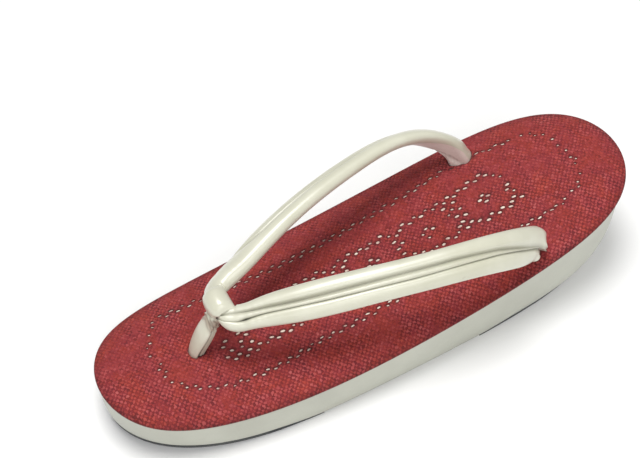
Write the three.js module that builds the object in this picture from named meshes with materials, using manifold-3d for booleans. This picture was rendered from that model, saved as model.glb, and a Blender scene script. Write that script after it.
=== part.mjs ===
// One zori sandal: a high-heeled wedge platform with a padded woven footbed,
// two thin sole sheets under toe and heel, padded thong straps and a toe post.
// Frame: origin on the ground at the middle of the outline, +X to the toe,
// +Y to one side, +Z up. Millimetres. The sandal is symmetric about Y = 0.

import * as THREE from 'three';
import { mergeVertices } from 'three/addons/utils/BufferGeometryUtils.js';
import Module from 'manifold-3d';

const wasm = await Module();
wasm.setup();

// ---- driving dimensions ----
const LENGTH = 240;            // rim of the footbed, heel to toe
const BASE_BACK = 8.0;         // the base starts this far inside the heel's rim
const BASE_FRONT = 1.9;        // and ends this far inside the toe's rim
const TOE_SPRING = 5.2;        // lift of the base under the toe
const SPRING_START = 56;       // x where the base leaves the ground
const GAP = 0.3;               // between neighbouring pieces

const CROWN = 4.5;             // footbed's rise above its rim
const DIP_POST = { x: 78.6, y: 0, depth: 2.0, radius: 5.5 };      // where the post pulls the padding down
const DIP_STRAP = { x: -62.0, y: 29.5, depth: 1.1, radius: 6.0 }; // and where each strap does
const FOOTBED_SKIRT = 1.0;     // footbed's edge below its rim
const WALL_INSET = 0.6;        // platform's top edge inside the footbed's rim
const WALL_BULGE = 0.03;       // the side wall's outward curve, as a share of its height
const HEEL_BULGE = 0.075;      // and the same round the back of the heel

const SOLE_FRONT = 1.8;        // forefoot sheet
const SOLE_HEEL = 1.4;         // heel sheet
const SOLE_WAIST = 0.5;        // both sheets' skived ends
const FRONT_SHEET_END = 40;    // x of the forefoot sheet's rear end
const HEEL_SHEET_END = -36;    // x of the heel sheet's front end
const SKIVE = 22;              // length over which a sheet thins

const POCKET_DEPTH_FIT = 0.35; // clearance around straps and post in their holes

// Half width as the semi-axis of the ellipse that the outline follows there,
// for the footbed's rim and for the base, and the rim's height.
const PLAN = [
  { at: 0.00, top: 62.6, base: 50.1, rim: 47.4 },
  { at: 0.03, top: 59.3, base: 48.2, rim: 46.0 },
  { at: 0.10, top: 52.8, base: 44.4, rim: 42.6 },
  { at: 0.20, top: 46.1, base: 40.3, rim: 37.5 },
  { at: 0.35, top: 40.8, base: 37.1, rim: 29.8 },
  { at: 0.50, top: 39.2, base: 36.9, rim: 23.3 },
  { at: 0.65, top: 40.2, base: 39.2, rim: 19.1 },
  { at: 0.80, top: 44.0, base: 43.4, rim: 18.4 },
  { at: 0.90, top: 49.6, base: 47.0, rim: 20.5 },
  { at: 0.97, top: 56.2, base: 49.9, rim: 23.4 },
  { at: 1.00, top: 60.0, base: 51.2, rim: 25.1 },
];

// The +Y strap's centreline from the fold at the front to its end in the platform:
// half width, half thickness, lean of its face away from level, how much of the
// pleating shows (0 round, 1 three ribs). The other strap mirrors it, but its end
// is gathered a little more before it dives: tuck is its share of END_TUCK.
const STRAP = [
  { x: 67.6, y: 0.0, z: 48.6, half: 3.6, thick: 3.0, lean: 0, pleat: 0.0, tuck: 0 },
  { x: 66.6, y: 4.8, z: 47.7, half: 4.1, thick: 3.0, lean: 16, pleat: 0.2, tuck: 0 },
  { x: 64.6, y: 7.6, z: 46.8, half: 5.1, thick: 3.2, lean: 32, pleat: 0.7, tuck: 0 },
  { x: 60.2, y: 9.8, z: 47.3, half: 5.3, thick: 3.6, lean: 35, pleat: 1.0, tuck: 0 },
  { x: 53.4, y: 12.0, z: 49.0, half: 6.0, thick: 3.7, lean: 36, pleat: 1.0, tuck: 0 },
  { x: 44.4, y: 15.4, z: 51.3, half: 6.9, thick: 3.8, lean: 38, pleat: 1.0, tuck: 0 },
  { x: 31.6, y: 20.0, z: 54.1, half: 7.4, thick: 3.8, lean: 41, pleat: 1.0, tuck: 0 },
  { x: 11.5, y: 25.9, z: 57.1, half: 7.3, thick: 3.7, lean: 42, pleat: 1.0, tuck: 0 },
  { x: -9.1, y: 30.7, z: 58.4, half: 7.3, thick: 3.6, lean: 44, pleat: 1.0, tuck: 0 },
  { x: -29.1, y: 33.8, z: 58.0, half: 7.7, thick: 3.4, lean: 48, pleat: 1.0, tuck: 0 },
  { x: -43.5, y: 34.1, z: 54.3, half: 8.0, thick: 3.2, lean: 50, pleat: 1.0, tuck: 0.25 },
  { x: -52.3, y: 33.0, z: 50.1, half: 7.9, thick: 3.1, lean: 51, pleat: 1.0, tuck: 0.7 },
  { x: -58.6, y: 31.2, z: 45.6, half: 7.0, thick: 3.4, lean: 52, pleat: 0.8, tuck: 1 },
  { x: -61.6, y: 29.8, z: 40.4, half: 5.8, thick: 4.1, lean: 50, pleat: 0.4, tuck: 1 },
  { x: -62.3, y: 29.2, z: 34.5, half: 5.0, thick: 4.6, lean: 46, pleat: 0.0, tuck: 0.6 },
  { x: -62.3, y: 29.2, z: 26.5, half: 4.6, thick: 4.2, lean: 46, pleat: 0.0, tuck: 0.4 },
];
const END_TUCK = { x: 1.6, y: -0.8, z: -0.9, half: -1.0 };
const STRAP_STEPS = 44;        // sections on each side of the fold
const STEP_EASE = 0.7;         // sections lie closer at the fold and at the ends

// Section of a strap, from its upper edge (-1) across the face to its lower
// edge (+1), and back along the lining.
const RIBS = [
  { across: -1.00, proud: 0.00 },
  { across: -0.88, proud: 0.70 },
  { across: -0.55, proud: 1.00 },
  { across: -0.24, proud: 0.82 },
  { across: -0.09, proud: 0.48 },
  { across: 0.05, proud: 0.70 },
  { across: 0.20, proud: 0.44 },
  { across: 0.40, proud: 0.82 },
  { across: 0.68, proud: 0.92 },
  { across: 0.92, proud: 0.60 },
  { across: 1.00, proud: 0.00 },
  { across: 0.86, proud: -0.62 },
  { across: 0.45, proud: -0.86 },
  { across: 0.00, proud: -0.90 },
  { across: -0.45, proud: -0.90 },
  { across: -0.86, proud: -0.70 },
];

// Toe post, from its foot in the platform up to the loop.
const POST = [
  { x: 80.4, z: 11.5, side: 3.3, deep: 2.7 },
  { x: 79.8, z: 19.0, side: 3.4, deep: 2.8 },
  { x: 78.8, z: 23.5, side: 3.9, deep: 3.3 },
  { x: 76.1, z: 29.0, side: 4.2, deep: 3.7 },
  { x: 73.0, z: 34.5, side: 4.1, deep: 3.7 },
  { x: 70.7, z: 39.0, side: 3.7, deep: 3.4 },
  { x: 68.8, z: 43.5, side: 3.6, deep: 3.6 },
];
const POST_SIDES = 16;

// Loop round the straps' fold: radius against the distance from the middle.
const LOOP = [
  { off: 0.0, radius: 5.5 },
  { off: 2.4, radius: 5.4 },
  { off: 4.0, radius: 5.1 },
  { off: 5.0, radius: 4.6 },
  { off: 5.5, radius: 3.6 },
];
const LOOP_FLAT = 0.94;        // the loop is this much narrower front to back

// ---- helpers ----

// Natural cubic spline through the rows of a table.
function spline(xs, ys) {
  const n = xs.length, h = [], m = new Array(n).fill(0), c = new Array(n).fill(0), d = new Array(n).fill(0);
  for (let i = 0; i < n - 1; i++) h.push(xs[i + 1] - xs[i]);
  for (let i = 1; i < n - 1; i++) {
    const r = 6 * ((ys[i + 1] - ys[i]) / h[i] - (ys[i] - ys[i - 1]) / h[i - 1]);
    const w = 2 * (h[i - 1] + h[i]) - h[i - 1] * c[i - 1];
    c[i] = h[i] / w;
    d[i] = (r - h[i - 1] * d[i - 1]) / w;
  }
  for (let i = n - 2; i > 0; i--) m[i] = d[i] - c[i] * m[i + 1];
  return (x) => {
    let i = 0;
    while (i < n - 2 && x > xs[i + 1]) i++;
    const a = (xs[i + 1] - x) / h[i], b = (x - xs[i]) / h[i];
    return a * ys[i] + b * ys[i + 1]
      + ((a * a * a - a) * m[i] + (b * b * b - b) * m[i + 1]) * h[i] * h[i] / 6;
  };
}

const smooth = (a, b, x) => {
  const k = Math.min(1, Math.max(0, (x - a) / (b - a)));
  return k * k * (3 - 2 * k);
};
const angleOf = (at) => Math.acos(1 - 2 * at);

const angles = PLAN.map((r) => angleOf(r.at));
const topAxis = spline(angles, PLAN.map((r) => r.top));
const baseAxis = spline(angles, PLAN.map((r) => r.base));
const rimAt = spline(PLAN.map((r) => r.at), PLAN.map((r) => r.rim));

// Outlines run from the heel (0) to the toe (pi) on the +Y side.
const rimPoint = (t) => new THREE.Vector2(-LENGTH / 2 * Math.cos(t), topAxis(t) * Math.sin(t));
function basePoint(t) {
  const back = -LENGTH / 2 + BASE_BACK, front = LENGTH / 2 - BASE_FRONT;
  return new THREE.Vector2(back + (front - back) * (1 - Math.cos(t)) / 2, baseAxis(t) * Math.sin(t));
}
// The same outline moved inwards.
function inset(outline, t, d) {
  const e = 1e-3;
  const a = outline(Math.max(0, t - e)), b = outline(Math.min(Math.PI, t + e));
  const run = b.clone().sub(a).normalize();
  const p = outline(t).add(new THREE.Vector2(run.y, -run.x).multiplyScalar(d));
  if (t <= e || t >= Math.PI - e) { p.y = 0; p.x = outline(t).x + (t <= e ? d : -d); }
  p.y = Math.max(0, p.y);
  return p;
}
const rimHeight = (x) => rimAt(Math.min(1, Math.max(0, x / LENGTH + 0.5)));
const groundLift = (x) => TOE_SPRING * Math.pow(Math.max(0, (x - SPRING_START) / (LENGTH / 2 - BASE_FRONT - SPRING_START)), 1.6);
const sheetThickness = (x) => SOLE_WAIST
  + (SOLE_FRONT - SOLE_WAIST) * smooth(FRONT_SHEET_END, FRONT_SHEET_END + SKIVE, x)
  + (SOLE_HEEL - SOLE_WAIST) * smooth(-HEEL_SHEET_END, -HEEL_SHEET_END + SKIVE, -x);

// Closed mesh through rings of equal length; rings may shrink to a line.
function loft(rings, capped) {
  const n = rings[0].length, pos = [], idx = [];
  for (const ring of rings) for (const p of ring) pos.push(p.x, p.y, p.z);
  for (let i = 0; i < rings.length - 1; i++) {
    for (let j = 0; j < n; j++) {
      const a = i * n + j, b = i * n + (j + 1) % n;
      idx.push(a, b, a + n, b, b + n, a + n);
    }
  }
  if (capped) {
    for (const [row, flip] of [[0, true], [rings.length - 1, false]]) {
      if (new THREE.Box3().setFromPoints(rings[row]).getSize(new THREE.Vector3()).y < 1e-3) continue;
      const centre = new THREE.Vector3();
      for (const p of rings[row]) centre.add(p);
      centre.divideScalar(n);
      const c = pos.length / 3;
      pos.push(centre.x, centre.y, centre.z);
      for (let j = 0; j < n; j++) {
        const a = row * n + j, b = row * n + (j + 1) % n;
        if (flip) idx.push(a, c, b); else idx.push(a, b, c);
      }
    }
  }
  const g = new THREE.BufferGeometry();
  g.setAttribute('position', new THREE.Float32BufferAttribute(pos, 3));
  g.setIndex(idx);
  return tidy(g);
}

// Merge shared vertices, drop the empty triangles and turn the faces outwards.
function tidy(geometry) {
  const g = mergeVertices(geometry, 1e-4);
  const p = g.attributes.position, src = g.index.array, idx = [];
  const a = new THREE.Vector3(), b = new THREE.Vector3(), c = new THREE.Vector3();
  let volume = 0;
  for (let i = 0; i < src.length; i += 3) {
    const [u, v, w] = [src[i], src[i + 1], src[i + 2]];
    if (u === v || v === w || u === w) continue;
    a.fromBufferAttribute(p, u); b.fromBufferAttribute(p, v); c.fromBufferAttribute(p, w);
    volume += a.dot(b.clone().cross(c));
    idx.push(u, v, w);
  }
  if (volume < 0) for (let i = 0; i < idx.length; i += 3) [idx[i + 1], idx[i + 2]] = [idx[i + 2], idx[i + 1]];
  g.setIndex(idx);
  return g;
}

function toSolid(g) {
  return new wasm.Manifold(new wasm.Mesh({
    numProp: 3,
    vertProperties: new Float32Array(g.attributes.position.array),
    triVerts: new Uint32Array(g.index.array),
  }));
}
function fromSolid(s) {
  const m = s.getMesh();
  const g = new THREE.BufferGeometry();
  g.setAttribute('position', new THREE.Float32BufferAttribute(m.vertProperties, 3));
  g.setIndex(Array.from(m.triVerts));
  return g;
}

// ---- platform: sloping top, tapering wall, sheets let into its underside ----
function platformGeometry() {
  const rings = [], steps = 44;
  for (let i = 0; i <= steps; i++) {
    const t = Math.PI * i / steps;
    const top = inset(rimPoint, t, WALL_INSET), base = inset(basePoint, t, 0);
    const zTop = rimHeight(top.x) - FOOTBED_SKIRT - GAP;
    const zBase = groundLift(base.x) + sheetThickness(base.x) + GAP;
    const wall = [];
    for (const v of [0, 0.3, 0.6, 0.85, 1]) {
      const out = -(WALL_BULGE + (HEEL_BULGE - WALL_BULGE) * smooth(30, 110, -top.x))
        * (zTop - zBase) * 4 * v * (1 - v) * (0.2 + 1.4 * v);
      const a = inset(rimPoint, t, WALL_INSET + out), b = inset(basePoint, t, out);
      wall.push(new THREE.Vector3(
        THREE.MathUtils.lerp(a.x, b.x, v),
        THREE.MathUtils.lerp(a.y, b.y, v),
        THREE.MathUtils.lerp(zTop, zBase, v)));
    }
    const ring = [];
    for (const f of [-0.5, 0, 0.5]) ring.push(new THREE.Vector3(top.x, top.y * f, zTop));
    for (const p of wall) ring.push(p.clone());
    for (const f of [0.5, 0, -0.5]) ring.push(new THREE.Vector3(base.x, base.y * f, zBase));
    for (const p of wall.slice().reverse()) ring.push(new THREE.Vector3(p.x, -p.y, p.z));
    rings.push(ring);
  }
  return loft(rings, false);
}

// ---- footbed: a padded slab with a rolled edge and a crown ----
const EDGE_ROLL = [
  { inset: 0.7, rise: -FOOTBED_SKIRT },
  { inset: 0.0, rise: -0.3 },
  { inset: 0.5, rise: 0.6 },
];
const CROWN_AT = [0.94, 0.84, 0.74, 0.6, 0.42, 0.26, 0.13, 0];
const dip = (d, x, y) => d.depth * Math.exp(-((x - d.x) ** 2 + (Math.abs(y) - d.y) ** 2) / (2 * d.radius ** 2));
function footbedHeight(x, y, f) {
  const u = Math.abs(2 * x / LENGTH);
  return rimHeight(x) + 0.7 + (CROWN - 0.7) * (1 - Math.pow(Math.abs(f), 3)) * (1 - Math.pow(Math.min(1, u), 10))
    - dip(DIP_POST, x, y) - dip(DIP_STRAP, x, y);
}
function footbedGeometry() {
  const rings = [], steps = 56;
  for (let i = 0; i <= steps; i++) {
    const t = Math.PI * i / steps, side = [];
    for (const r of EDGE_ROLL) {
      const p = inset(rimPoint, t, r.inset);
      side.push(new THREE.Vector3(p.x, p.y, rimHeight(p.x) + r.rise));
    }
    const edge = inset(rimPoint, t, 1.2);
    for (const f of CROWN_AT) side.push(new THREE.Vector3(edge.x, edge.y * f, footbedHeight(edge.x, edge.y * f, f)));
    const under = inset(rimPoint, t, EDGE_ROLL[0].inset);
    const ring = side.map((p) => p.clone());
    for (const p of side.slice(0, -1).reverse()) ring.push(new THREE.Vector3(p.x, -p.y, p.z));
    for (const f of [-0.5, 0, 0.5]) ring.push(new THREE.Vector3(under.x, under.y * f, rimHeight(under.x) - FOOTBED_SKIRT));
    rings.push(ring);
  }
  return loft(rings, false);
}

// ---- sole sheets ----
function sheetGeometry(from, to, steps, rim) {
  const back = -LENGTH / 2 + BASE_BACK, front = LENGTH / 2 - BASE_FRONT;
  const tOf = (x) => Math.acos(THREE.MathUtils.clamp(1 - 2 * (x - back) / (front - back), -1, 1));
  const t0 = from === null ? 0 : tOf(from), t1 = to === null ? Math.PI : tOf(to);
  const rings = [];
  for (let i = 0; i <= steps; i++) {
    const t = t0 + (t1 - t0) * i / steps;
    const p = inset(basePoint, t, rim(basePoint(t).x));
    const low = groundLift(p.x), high = low + sheetThickness(p.x);
    const ring = [];
    for (const f of [-1, -0.5, 0, 0.5, 1]) ring.push(new THREE.Vector3(p.x, p.y * f, high));
    for (const f of [1, 0.5, 0, -0.5, -1]) ring.push(new THREE.Vector3(p.x, p.y * f, low));
    rings.push(ring);
  }
  return loft(rings, true);
}

// ---- straps ----
function strapPath(tucked) {
  const side = STRAP.map((r) => {
    const o = { ...r };
    if (tucked) for (const key in END_TUCK) o[key] += END_TUCK[key] * r.tuck;
    return o;
  });
  const rows = [...side.slice(1).reverse().map((r) => ({ ...r, y: -r.y })), ...side];
  const at = [0];
  for (let i = 1; i < rows.length; i++) {
    at.push(at[i - 1] + Math.hypot(rows[i].x - rows[i - 1].x, rows[i].y - rows[i - 1].y, rows[i].z - rows[i - 1].z));
  }
  const middle = at[STRAP.length - 1], length = at[at.length - 1] - middle;
  const f = {};
  for (const key of Object.keys(STRAP[0])) f[key] = spline(at, rows.map((r) => r[key]));
  return { length, at: (s) => { const o = {}; for (const k in f) o[k] = f[k](middle + s); return o; } };
}

function strapSection(path, s, grow) {
  const e = 0.05, a = path.at(s - e), b = path.at(s + e), c = path.at(s);
  const run = new THREE.Vector3(b.x - a.x, b.y - a.y, b.z - a.z).normalize();
  const rise = new THREE.Vector3(0, 0, 1).addScaledVector(run, -run.z).normalize();
  const dive = new THREE.Vector3(run.z, 0, -run.x);
  dive.addScaledVector(run, -dive.dot(run)).normalize();
  const up = rise.lerp(dive, smooth(30, 48, -c.x)).normalize();
  const out = run.clone().cross(up);
  const lean = THREE.MathUtils.degToRad(c.lean);
  const wide = out.clone().multiplyScalar(Math.cos(lean)).addScaledVector(up, -Math.sin(lean));
  const face = out.clone().multiplyScalar(Math.sin(lean)).addScaledVector(up, Math.cos(lean));
  const pleat = THREE.MathUtils.clamp(c.pleat, 0, 1);
  return RIBS.map((r, k) => {
    const round = Math.PI - 2 * Math.PI * k / RIBS.length;
    const across = THREE.MathUtils.lerp(Math.cos(round), r.across, pleat);
    const proud = THREE.MathUtils.lerp(Math.sin(round), r.proud, pleat);
    return new THREE.Vector3(c.x, c.y, c.z)
      .addScaledVector(wide, across * (c.half + grow))
      .addScaledVector(face, proud * (c.thick + grow));
  });
}
function strapSide(tucked, grow) {
  const path = strapPath(tucked), rings = [];
  for (let i = 0; i <= STRAP_STEPS; i++) {
    const w = i / STRAP_STEPS;
    rings.push(strapSection(path, path.length * (w - STEP_EASE * Math.sin(2 * Math.PI * w) / (2 * Math.PI)), grow));
  }
  for (const p of rings[0]) p.y = 0;
  if (grow > 0) rings.push(rings[rings.length - 1].map((p) => new THREE.Vector3(p.x, p.y, p.z - grow)));
  return rings;
}
function strapsGeometry(grow) {
  const near = strapSide(false, grow);
  const far = strapSide(true, grow).slice(1).map((ring) => ring.map((p) => new THREE.Vector3(p.x, -p.y, p.z)));
  return loft([...far.reverse(), ...near], true);
}

// ---- toe post and loop ----
function postGeometry(grow) {
  const at = [0];
  for (let i = 1; i < POST.length; i++) at.push(at[i - 1] + Math.hypot(POST[i].x - POST[i - 1].x, POST[i].z - POST[i - 1].z));
  const f = {};
  for (const key of Object.keys(POST[0])) f[key] = spline(at, POST.map((r) => r[key]));
  const length = at[at.length - 1], steps = 14, rings = [];
  for (let i = 0; i <= steps; i++) {
    const s = length * i / steps - (i === 0 ? grow : 0);
    const run = new THREE.Vector3(f.x(s + 0.05) - f.x(s - 0.05), 0, f.z(s + 0.05) - f.z(s - 0.05)).normalize();
    const deep = new THREE.Vector3(run.z, 0, -run.x);
    const ring = [];
    for (let k = 0; k < POST_SIDES; k++) {
      const w = 2 * Math.PI * k / POST_SIDES;
      ring.push(new THREE.Vector3(f.x(s), 0, f.z(s))
        .addScaledVector(deep, Math.cos(w) * (f.deep(s) + grow))
        .add(new THREE.Vector3(0, Math.sin(w) * (f.side(s) + grow), 0)));
    }
    rings.push(ring);
  }
  return loft(rings, true);
}
function loopGeometry() {
  const rows = [...LOOP.slice(1).reverse().map((r) => ({ off: -r.off, radius: r.radius })), ...LOOP];
  const profile = [new THREE.Vector2(0, rows[0].off), ...rows.map((r) => new THREE.Vector2(r.radius, r.off)),
    new THREE.Vector2(0, rows[rows.length - 1].off)];
  const g = new THREE.LatheGeometry(profile, 24);
  g.deleteAttribute('normal');
  g.deleteAttribute('uv');
  g.scale(LOOP_FLAT, 1, 1);
  g.translate(STRAP[0].x - 0.2, 0, STRAP[0].z - 0.1);
  return tidy(g);
}

const strapClear = toSolid(strapsGeometry(POCKET_DEPTH_FIT));
const postClear = toSolid(postGeometry(POCKET_DEPTH_FIT));
const cut = (g, ...tools) => fromSolid(tools.reduce((s, tool) => s.subtract(tool), toSolid(g)));

const post = toSolid(postGeometry(0)).add(toSolid(loopGeometry())).subtract(strapClear);

// ---- materials ----
const enamel = new THREE.MeshStandardMaterial({ color: 0xc8cabd, roughness: 0.35, metalness: 0 });
const woven = new THREE.MeshStandardMaterial({ color: 0xa23f3a, roughness: 0.85, metalness: 0 });
const rubber = new THREE.MeshStandardMaterial({ color: 0x45474a, roughness: 0.8, metalness: 0 });
const pearl = new THREE.MeshStandardMaterial({ color: 0xe9e7da, roughness: 0.35, metalness: 0 });

const part = new THREE.Group();
function piece(name, geometry, material) {
  const mesh = new THREE.Mesh(geometry, material);
  mesh.name = name;
  part.add(mesh);
}
piece('platform', cut(platformGeometry(), strapClear, postClear), enamel);
piece('footbed', cut(footbedGeometry(), strapClear, postClear), woven);
piece('outsole_forefoot', sheetGeometry(FRONT_SHEET_END, null, 22, () => 0.2), rubber);
piece('outsole_heel', sheetGeometry(null, HEEL_SHEET_END, 20, (x) => 0.7 + 1.4 * smooth(70, 95, -x)), rubber);
piece('straps', strapsGeometry(0), pearl);
piece('toe_post', fromSolid(post), pearl);

export default part;
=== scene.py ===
import math

import bmesh
import bpy
import numpy as np
from mathutils import Matrix, Vector, geometry


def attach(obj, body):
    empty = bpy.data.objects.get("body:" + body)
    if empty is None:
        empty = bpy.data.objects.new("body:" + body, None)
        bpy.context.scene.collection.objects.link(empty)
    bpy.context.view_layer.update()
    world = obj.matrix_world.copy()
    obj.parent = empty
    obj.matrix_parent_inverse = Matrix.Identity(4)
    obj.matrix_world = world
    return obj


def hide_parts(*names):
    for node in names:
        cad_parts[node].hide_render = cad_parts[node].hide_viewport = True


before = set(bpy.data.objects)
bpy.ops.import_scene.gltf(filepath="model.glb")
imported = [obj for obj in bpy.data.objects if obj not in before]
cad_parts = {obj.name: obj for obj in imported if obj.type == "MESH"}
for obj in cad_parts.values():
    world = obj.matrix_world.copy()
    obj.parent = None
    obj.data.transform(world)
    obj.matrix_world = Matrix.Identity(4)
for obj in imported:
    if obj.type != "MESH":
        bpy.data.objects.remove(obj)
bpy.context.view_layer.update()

# One zori sandal. Everything below is worked out in millimetres in the model's own
# frame (heel at -x, toe at +x, the side nearest the camera at +y, up +z) and turned
# into metres when a mesh is made.

# ---------------------------------------------------------------- sizes
LENGTH = 240.0
BASE_BACK, BASE_FRONT = 8.0, 1.9
TOE_SPRING, SPRING_START = 5.2, 56.0
GAP = 0.3
CROWN = 4.5
DIP_POST = (78.6, 0.0, 2.0, 5.5)
DIP_STRAP = (-62.0, 29.5, 1.1, 6.0)
WALL_INSET, WALL_BULGE, HEEL_BULGE = 0.6, 0.03, 0.075
SOLE_FRONT, SOLE_HEEL, SOLE_WAIST = 1.7, 1.5, 0.15
FRONT_SHEET_END, HEEL_SHEET_END, SKIVE = 40.0, -36.0, 22.0

# share of length: half width of the rim, of the base, height of the rim
PLAN = [
    (0.00, 62.6, 50.1, 47.4), (0.03, 59.3, 48.2, 46.0), (0.10, 52.8, 44.4, 42.6),
    (0.20, 46.1, 40.3, 37.5), (0.35, 40.8, 37.1, 29.8), (0.50, 39.2, 36.9, 23.3),
    (0.65, 40.2, 39.2, 19.1), (0.80, 44.0, 43.4, 18.4), (0.90, 49.6, 47.0, 20.5),
    (0.97, 56.2, 49.9, 23.4), (1.00, 60.0, 51.2, 25.1),
]
# strap centreline from the fold to its end: x, y, z, half width, half thickness,
# lean, how much of the pleating shows, how much of the far strap's tuck applies
STRAP = [
    (67.6, 0.0, 48.6, 3.6, 3.0, 0, 0.0, 0), (66.6, 4.8, 47.7, 4.1, 3.0, 16, 0.2, 0),
    (64.6, 7.6, 46.8, 5.1, 3.2, 32, 0.7, 0), (60.2, 9.8, 47.3, 5.3, 3.6, 35, 1.0, 0),
    (53.4, 12.0, 49.0, 6.0, 3.7, 36, 1.0, 0), (44.4, 15.4, 51.3, 6.9, 3.8, 38, 1.0, 0),
    (31.6, 20.0, 54.1, 7.4, 3.8, 41, 1.0, 0), (11.5, 25.9, 57.1, 7.3, 3.7, 42, 1.0, 0),
    (-9.1, 30.7, 58.4, 7.3, 3.6, 44, 1.0, 0), (-29.1, 33.8, 58.0, 7.7, 3.4, 48, 1.0, 0),
    (-43.5, 34.1, 54.3, 8.0, 3.2, 50, 1.0, 0.25), (-52.3, 33.0, 50.1, 7.9, 3.1, 51, 1.0, 0.7),
    (-58.6, 31.2, 45.6, 7.0, 3.4, 52, 0.8, 1), (-61.6, 29.8, 40.4, 5.8, 4.1, 50, 0.4, 1),
    (-62.3, 29.2, 34.5, 5.0, 4.6, 46, 0.0, 0.6), (-62.3, 29.2, 26.5, 4.6, 4.2, 46, 0.0, 0.4),
]
END_TUCK = (1.6, -0.8, -0.9, -1.0)
# toe post: x, z, half width across, half depth
POST = [
    (79.6, 11.5, 3.1, 2.7), (79.0, 19.0, 3.0, 2.9), (78.0, 23.5, 3.3, 3.4), (75.7, 29.0, 4.0, 3.7),
    (73.0, 34.5, 4.1, 3.7), (70.7, 39.0, 3.7, 3.4), (68.8, 43.5, 3.6, 3.6),
]
LOOP_AT = (67.4, 48.5)


def natural(xs, ys):
    """Natural cubic spline through a table's rows."""
    xs, ys = np.asarray(xs, float), np.asarray(ys, float)
    n, h = len(xs), np.diff(xs)
    a, r = np.eye(n), np.zeros(n)
    for i in range(1, n - 1):
        a[i, i - 1], a[i, i], a[i, i + 1] = h[i - 1], 2 * (h[i - 1] + h[i]), h[i]
        r[i] = 6 * ((ys[i + 1] - ys[i]) / h[i] - (ys[i] - ys[i - 1]) / h[i - 1])
    m = np.linalg.solve(a, r)

    def f(x):
        x = np.asarray(x, float)
        i = np.clip(np.searchsorted(xs, x, side="left") - 1, 0, n - 2)
        p, q = (xs[i + 1] - x) / h[i], (x - xs[i]) / h[i]
        return p * ys[i] + q * ys[i + 1] + ((p ** 3 - p) * m[i] + (q ** 3 - q) * m[i + 1]) * h[i] ** 2 / 6

    return f


def smooth(a, b, x):
    k = np.clip((np.asarray(x, float) - a) / (b - a), 0, 1)
    return k * k * (3 - 2 * k)


plan = np.array(PLAN)
_angle = np.arccos(1 - 2 * plan[:, 0])
top_axis, base_axis = natural(_angle, plan[:, 1]), natural(_angle, plan[:, 2])
_rim = natural(plan[:, 0], plan[:, 3])


def rim_height(x):
    return _rim(np.clip(np.asarray(x, float) / LENGTH + 0.5, 0, 1))


def rim_point(t):
    return np.stack([-LENGTH / 2 * np.cos(t), top_axis(t) * np.sin(t)], -1)


def base_point(t):
    back, front = -LENGTH / 2 + BASE_BACK, LENGTH / 2 - BASE_FRONT
    return np.stack([back + (front - back) * (1 - np.cos(t)) / 2, base_axis(t) * np.sin(t)], -1)


def inset(outline, t, d):
    """The outline's +y half, moved inwards by d."""
    t = np.asarray(t, float)
    d = np.broadcast_to(np.asarray(d, float), t.shape)
    e = 1e-3
    run = outline(np.clip(t + e, 0, math.pi)) - outline(np.clip(t - e, 0, math.pi))
    run /= np.linalg.norm(run, axis=-1)[..., None]
    p = outline(t) + np.stack([run[..., 1], -run[..., 0]], -1) * d[..., None]
    heel, toe = t <= e, t >= math.pi - e
    p[heel | toe, 1] = 0
    p[heel, 0] = outline(t)[heel, 0] + d[heel]
    p[toe, 0] = outline(t)[toe, 0] - d[toe]
    p[..., 1] = np.maximum(0, p[..., 1])
    return p


def ground_lift(x):
    front = LENGTH / 2 - BASE_FRONT
    return TOE_SPRING * np.maximum(0, (np.asarray(x, float) - SPRING_START) / (front - SPRING_START)) ** 1.6


def sheet_thickness(x):
    """The sheets are pared away towards the waist."""
    x = np.asarray(x, float)
    return (SOLE_WAIST + (SOLE_FRONT - SOLE_WAIST) * smooth(FRONT_SHEET_END, FRONT_SHEET_END + SKIVE, x)
            + (SOLE_HEEL - SOLE_WAIST) * smooth(-HEEL_SHEET_END, -HEEL_SHEET_END + SKIVE, -x))


def even_t(outline, n):
    """n + 1 angles from heel to toe, evenly spaced along the outline."""
    t = np.linspace(0, math.pi, 6001)
    p = outline(t)
    s = np.concatenate([[0], np.cumsum(np.linalg.norm(np.diff(p, axis=0), axis=1))])
    return np.interp(np.linspace(0, s[-1], n + 1), s, t)


def closed(half):
    """A half outline (heel to toe on +y) with its mirror image, as one loop."""
    return np.concatenate([half, half[1:-1][::-1] * np.array([1, -1] + [1] * (half.shape[1] - 2))])


# ---------------------------------------------------------------- mesh helpers
def make(name, verts, faces, materials, face_mat=None, uv=None, flat=False):
    """A mesh object from millimetres."""
    me = bpy.data.meshes.new(name)
    me.from_pydata((np.asarray(verts, float) * 0.001).tolist(), [], [list(map(int, f)) for f in faces])
    for m in materials:
        me.materials.append(m)
    if face_mat is not None:
        me.polygons.foreach_set("material_index", np.asarray(face_mat, np.int32))
    me.polygons.foreach_set("use_smooth", np.full(len(me.polygons), not flat))
    if uv is not None:
        layer = me.uv_layers.new(name="cells")
        idx = np.zeros(len(me.loops), np.int32)
        me.loops.foreach_get("vertex_index", idx)
        layer.data.foreach_set("uv", np.asarray(uv, np.float32)[idx].ravel())
    me.update()
    ob = bpy.data.objects.new(name, me)
    bpy.context.scene.collection.objects.link(ob)
    return ob


def mark(ob, name, values):
    """A number for each point, for the material to read."""
    layer = ob.data.attributes.new(name, "FLOAT", "POINT")
    layer.data.foreach_set("value", np.asarray(values, np.float32).ravel())


def points(ob):
    co = np.zeros(len(ob.data.vertices) * 3, np.float32)
    ob.data.vertices.foreach_get("co", co)
    return co.reshape(-1, 3).astype(float) * 1000


def ring_faces(rows, n, wrap=True, flip=False):
    """Quads between rows of n points each, stored row after row."""
    i, j = np.meshgrid(np.arange(rows - 1), np.arange(n if wrap else n - 1), indexing="ij")
    k = (j + 1) % n
    f = np.stack([i * n + j, i * n + k, (i + 1) * n + k, (i + 1) * n + j], -1).reshape(-1, 4)
    return f[:, ::-1] if flip else f


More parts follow.
